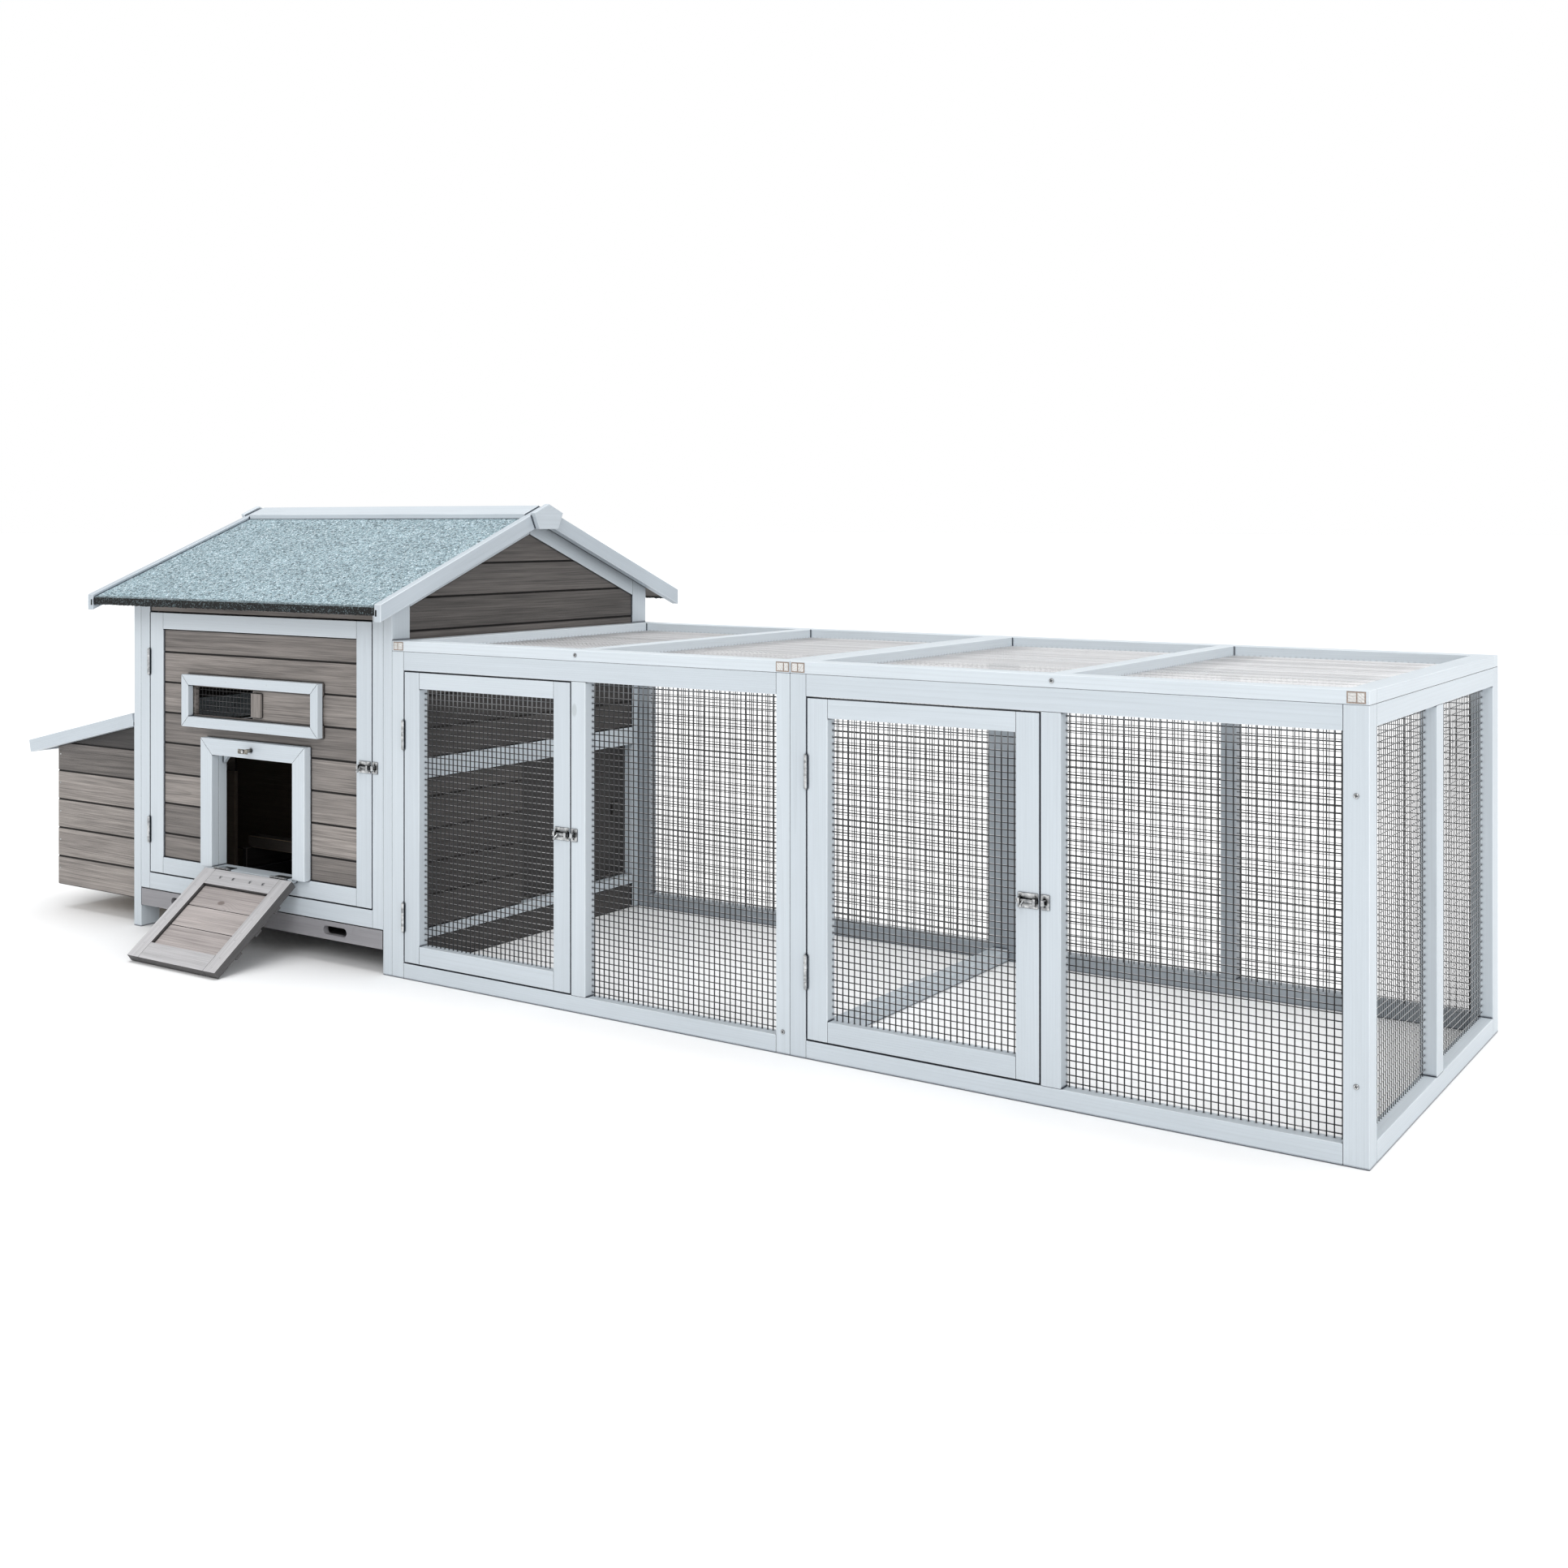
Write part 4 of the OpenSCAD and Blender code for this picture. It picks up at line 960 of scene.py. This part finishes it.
# Bolt screws: four on each door's plate, two on each keeper
PLATE_SCREW_Z = 9.3 * MM
CASE_SCREW_X = (-35.5 * MM, -5.5 * MM)
PLATE_FRONT = 1.2 * MM
KEEPER_GAP = 4 * MM
KEEPER_SCREW_ASIDE = 1 * MM
keeper_places = []
for (low, high), door in zip(node_boxes("bolt_keepers"), ("front_door", "run_door_1", "run_door_2")):
    middle = (low + high) / 2
    edge_x = low.x - KEEPER_GAP
    case_places = []
    for side in (-1, 1):
        z = middle.z + side * PLATE_SCREW_Z
        keeper_places.append((Vector((middle.x - KEEPER_SCREW_ASIDE, PLAN_Y - PLATE_FRONT, z)), FRONT))
        for x in CASE_SCREW_X:
            case_places.append((Vector((edge_x + x, PLAN_Y - PLATE_FRONT, z)), FRONT))
    screw_piece(door + "_bolt_screws", door, case_places, 2.3, 0.9)
screw_piece("keeper_screws", "coop", keeper_places, 2.3, 0.9)


# Nails at the outer ends of the nest box's boards and in the window's frame
NEST_NAIL_IN = 9 * MM
NEST_NAIL_HEIGHT = 0.58
FULL_BOARD = 76 * MM
nest_nails = []
for low, high in node_boxes("nest_walls"):
    if high.x - low.x > NEST_NAIL_IN * 3 and high.z - low.z < FULL_BOARD:
        y, outward = (low.y, FRONT) if low.y < 0 else (high.y, BACK)
        z = low.z + NEST_NAIL_HEIGHT * (high.z - low.z)
        nest_nails.append((Vector((low.x + NEST_NAIL_IN, y, z)), outward))
nail_piece("nest_nails", "coop", nest_nails, 2.4)

WINDOW_NAIL_SHARES = (0.03, 0.34, 0.64, 0.97)
window_nails = []
for low, high in node_boxes("window_frame"):
    if high.x - low.x > high.z - low.z:
        for share in WINDOW_NAIL_SHARES:
            x = low.x + share * (high.x - low.x)
            window_nails.append((Vector((x, low.y, (low.z + high.z) / 2)), FRONT))
nail_piece("window_nails", "front_door", window_nails, 1.0)


# ---------- Ramp and lid hardware ----------

ramp_joint = JOINTS["ramp_hinge"]
RAMP_TURN = math.radians(ramp_joint["range_deg"][1])
RAMP_FRAME = Matrix.Translation(ramp_joint["pos_m"]) @ Matrix.Rotation(RAMP_TURN, 4, "X")
RAMP_FACE_Y = 3.5 * MM
ramp_outward = RAMP_FRAME.to_3x3() @ Vector((0, 1, 0))


def on_ramp(x, z):
    """A place on the ramp's upper face, across it from its middle and along it from its hinge."""
    return RAMP_FRAME @ Vector((x * MM, RAMP_FACE_Y, z * MM))


RAMP_SCREW_X = (-75, -30, 30, 75)
RAMP_SCREW_Z = 27
RAMP_NAIL_X = 134
RAMP_NAIL_Z = (18, 60, 108, 128, 168, 188, 240, 268)
ramp_screws = [(on_ramp(x, RAMP_SCREW_Z), ramp_outward) for x in RAMP_SCREW_X]
screw_piece("ramp_screws", "ramp", ramp_screws, 3.6, 1.1)
ramp_nails = [(on_ramp(x, z), ramp_outward) for x in (-RAMP_NAIL_X, RAMP_NAIL_X) for z in RAMP_NAIL_Z]
nail_piece("ramp_nails", "ramp", ramp_nails, 1.4)

LID_SLOPE = math.radians(12.5)
LID_FRAME = Matrix.Translation(JOINTS["nest_lid_hinge"]["pos_m"]) @ Matrix.Rotation(-LID_SLOPE, 4, "Y")
LID_LEAF_TOP = -1.2 * MM
LID_SCREW_X = -22 * MM
HINGE_SCREW_STEP = 21 * MM
WALL_LEAF_T = 1.2 * MM
lid_outward = LID_FRAME.to_3x3() @ Vector((0, 0, 1))
lid_places = []
wall_places = []
for low, high in node_boxes("nest_lid_hinge_leaves"):
    for step in (-1, 0, 1):
        y = (low.y + high.y) / 2 + step * HINGE_SCREW_STEP
        reach = Vector((LID_SCREW_X, y - LID_FRAME.translation.y, LID_LEAF_TOP))
        lid_places.append((LID_FRAME @ reach, lid_outward))
        wall_places.append((at(-NEST_HOUSE_W, 0, NEST_LEAF_Z) + Vector((-WALL_LEAF_T, y - PLAN_Y, 0)), LEFT))
screw_piece("lid_hinge_screws", "nest_lid", lid_places, 2.3, 0.9)
screw_piece("lid_wall_screws", "coop", wall_places, 2.3, 0.9)


# ---------- Small timber details ----------


def add_block(build, low, high, rng, tone, edge, axes):
    """A small block of timber between two corners."""
    solid = bmesh.new()
    middle = (low + high) / 2
    size = Matrix.Diagonal((high - low).to_4d())
    bmesh.ops.create_cube(solid, size=1, matrix=Matrix.Translation(middle) @ size)
    add_timber(build, solid, rng, tone, edge, axes)


# Ends of the roof's cross bars, which show in the front rail of each roof frame
BAR_END_X = (20, 1048, 1083, 2129)
BAR_END_Z = (729, 748)
BAR_END_W = 30
BAR_END_PROUD = 0.2
STRIP_PROUD = 0.5
STRIP_MARGIN = 2
STRIP_GAP_HALF = 1
STRIP_GAP_ASIDE = 4
BAR_END_DEPTH = 3
BAR_END_EDGE = 0.1 * MM
STRIP_EDGE = 0.2 * MM
bar_ends = Build()
bar_rng = chance("bar_ends")
bar_axes = (Vector((0, 1, 0)), Vector((1, 0, 0)), Vector((0, 0, -1)))
for x in BAR_END_X:
    low, high = x - BAR_END_W / 2, x + BAR_END_W / 2
    cut = x + bar_rng.uniform(-STRIP_GAP_ASIDE, STRIP_GAP_ASIDE)
    start = at(low, -BAR_END_PROUD, BAR_END_Z[0])
    stop = at(high, BAR_END_DEPTH, BAR_END_Z[1])
    add_block(bar_ends, start, stop, bar_rng, 0.0, BAR_END_EDGE, bar_axes)
    for sides in ((low + STRIP_MARGIN, cut - STRIP_GAP_HALF), (cut + STRIP_GAP_HALF, high - STRIP_MARGIN)):
        start = at(sides[0], -STRIP_PROUD, BAR_END_Z[0] + STRIP_MARGIN)
        stop = at(sides[1], BAR_END_DEPTH, BAR_END_Z[1] - STRIP_MARGIN)
        add_block(bar_ends, start, stop, bar_rng, 1.0, STRIP_EDGE, bar_axes)
bar_ends.finish("roof_bar_ends", "coop", "bare_wood", END_GRAIN)

# A three-cornered block in the upper left corner of the pop hole
BRACE_CORNER = (-596, 454)
BRACE_LEG = 24
BRACE_Y = (18, 28)
BRACE_TONE = 0.8
BRACE_EDGE = 0.3 * MM
brace = bmesh.new()
brace_line = ((0, 0), (BRACE_LEG, 0), (0, -BRACE_LEG))
rings = [
    [brace.verts.new(at(BRACE_CORNER[0] + x, y, BRACE_CORNER[1] + z)) for x, z in brace_line]
    for y in BRACE_Y
]
brace.faces.new(rings[0])
brace.faces.new(reversed(rings[1]))
for i in range(3):
    after = (i + 1) % 3
    brace.faces.new((rings[0][after], rings[0][i], rings[1][i], rings[1][after]))
bmesh.ops.recalc_face_normals(brace, faces=brace.faces)
corner = Build()
add_timber(corner, brace, chance("brace"), BRACE_TONE, BRACE_EDGE)
corner.finish("pop_hole_brace", "front_door", "white_paint")

# Felt tucked into the lower end of each front bargeboard
KERF_SIZE = (5 * MM, 14 * MM)
KERF_DEPTH = 3 * MM
KERF_PROUD = 0.3 * MM
KERF_ASIDE = 5 * MM
tucks = Build()
for solid in members("barge_boards"):
    along = member_axes(solid)[0]
    if along.y * along.z > 0:
        end = min(solid.faces, key=lambda face: face.normal.dot(along))
        middle = end.calc_center_median()
        inward = Vector((math.copysign(1, HOUSE_MIDDLE.x - middle.x), 0, 0))
        upward = end.normal.cross(inward)
        tuck = bmesh.new()
        bmesh.ops.create_cube(tuck, size=1)
        turn = Matrix((inward * KERF_SIZE[0], upward * KERF_SIZE[1], end.normal * KERF_DEPTH)).transposed()
        shift = middle + inward * KERF_ASIDE + end.normal * (KERF_PROUD - KERF_DEPTH / 2)
        bmesh.ops.transform(tuck, matrix=Matrix.Translation(shift) @ turn.to_4x4(), verts=tuck.verts)
        bmesh.ops.recalc_face_normals(tuck, faces=tuck.faces)
        tuck.verts.index_update()
        faces = [[vert.index for vert in face.verts] for face in tuck.faces]
        # The tuck's faces take the felt's dark fold colour, which is partly painted shade
        tucks.add([vert.co.copy() for vert in tuck.verts], faces, worn=[1.0] * len(faces))
        tuck.free()
    solid.free()
tucks.finish("felt_tucks", "coop", "roof_felt")


# ---------- Floor, light and finish ----------

FLOOR_HALF = 150
floor_mesh = bpy.data.meshes.new("floor")
floor_corners = [(x * FLOOR_HALF, y * FLOOR_HALF, 0) for x, y in ((-1, -1), (1, -1), (1, 1), (-1, 1))]
floor_mesh.from_pydata(floor_corners, [], [(0, 1, 2, 3)])
floor_mesh.materials.append(floor_material())
floor = bpy.data.objects.new("floor", floor_mesh)
bpy.context.scene.collection.objects.link(floor)

# A white backdrop that lights the coop less than its own brightness
BACKDROP_LIGHT = 0.5
world = bpy.data.worlds.new("world")
world.use_nodes = True
backdrop = world.node_tree.nodes["Background"]
backdrop.inputs["Color"].default_value = (1, 1, 1, 1)
seen_directly = world.node_tree.nodes.new("ShaderNodeLightPath")
strength = world.node_tree.nodes.new("ShaderNodeMapRange")
strength.inputs["To Min"].default_value = BACKDROP_LIGHT
world.node_tree.links.new(seen_directly.outputs["Is Camera Ray"], strength.inputs["Value"])
world.node_tree.links.new(strength.outputs["Result"], backdrop.inputs["Strength"])
bpy.context.scene.world = world


def soft_sun(name, source, power, angle):
    """Even light over the whole floor from the direction of source, with soft shadows."""
    data = bpy.data.lights.new(name, "SUN")
    data.energy = power
    data.angle = math.radians(angle)
    made = bpy.data.objects.new(name, data)
    made.rotation_euler = Vector(source).to_track_quat("Z", "Y").to_euler()
    bpy.context.scene.collection.objects.link(made)


soft_sun("key", (0.35, -0.8, 0.6), 1.0, 35)
soft_sun("top", (0.0, 0.1, 1.0), 2.2, 50)
soft_sun("right", (1.0, -0.35, 0.25), 0.72, 50)

for node, made in NODES.items():
    if not made.hide_render:
        made.data.materials.clear()
        plain = MATERIALS[SLOT_OF[node]]
        made.data.materials.append(BUTTON_STEEL if node == "turn_button" else plain)
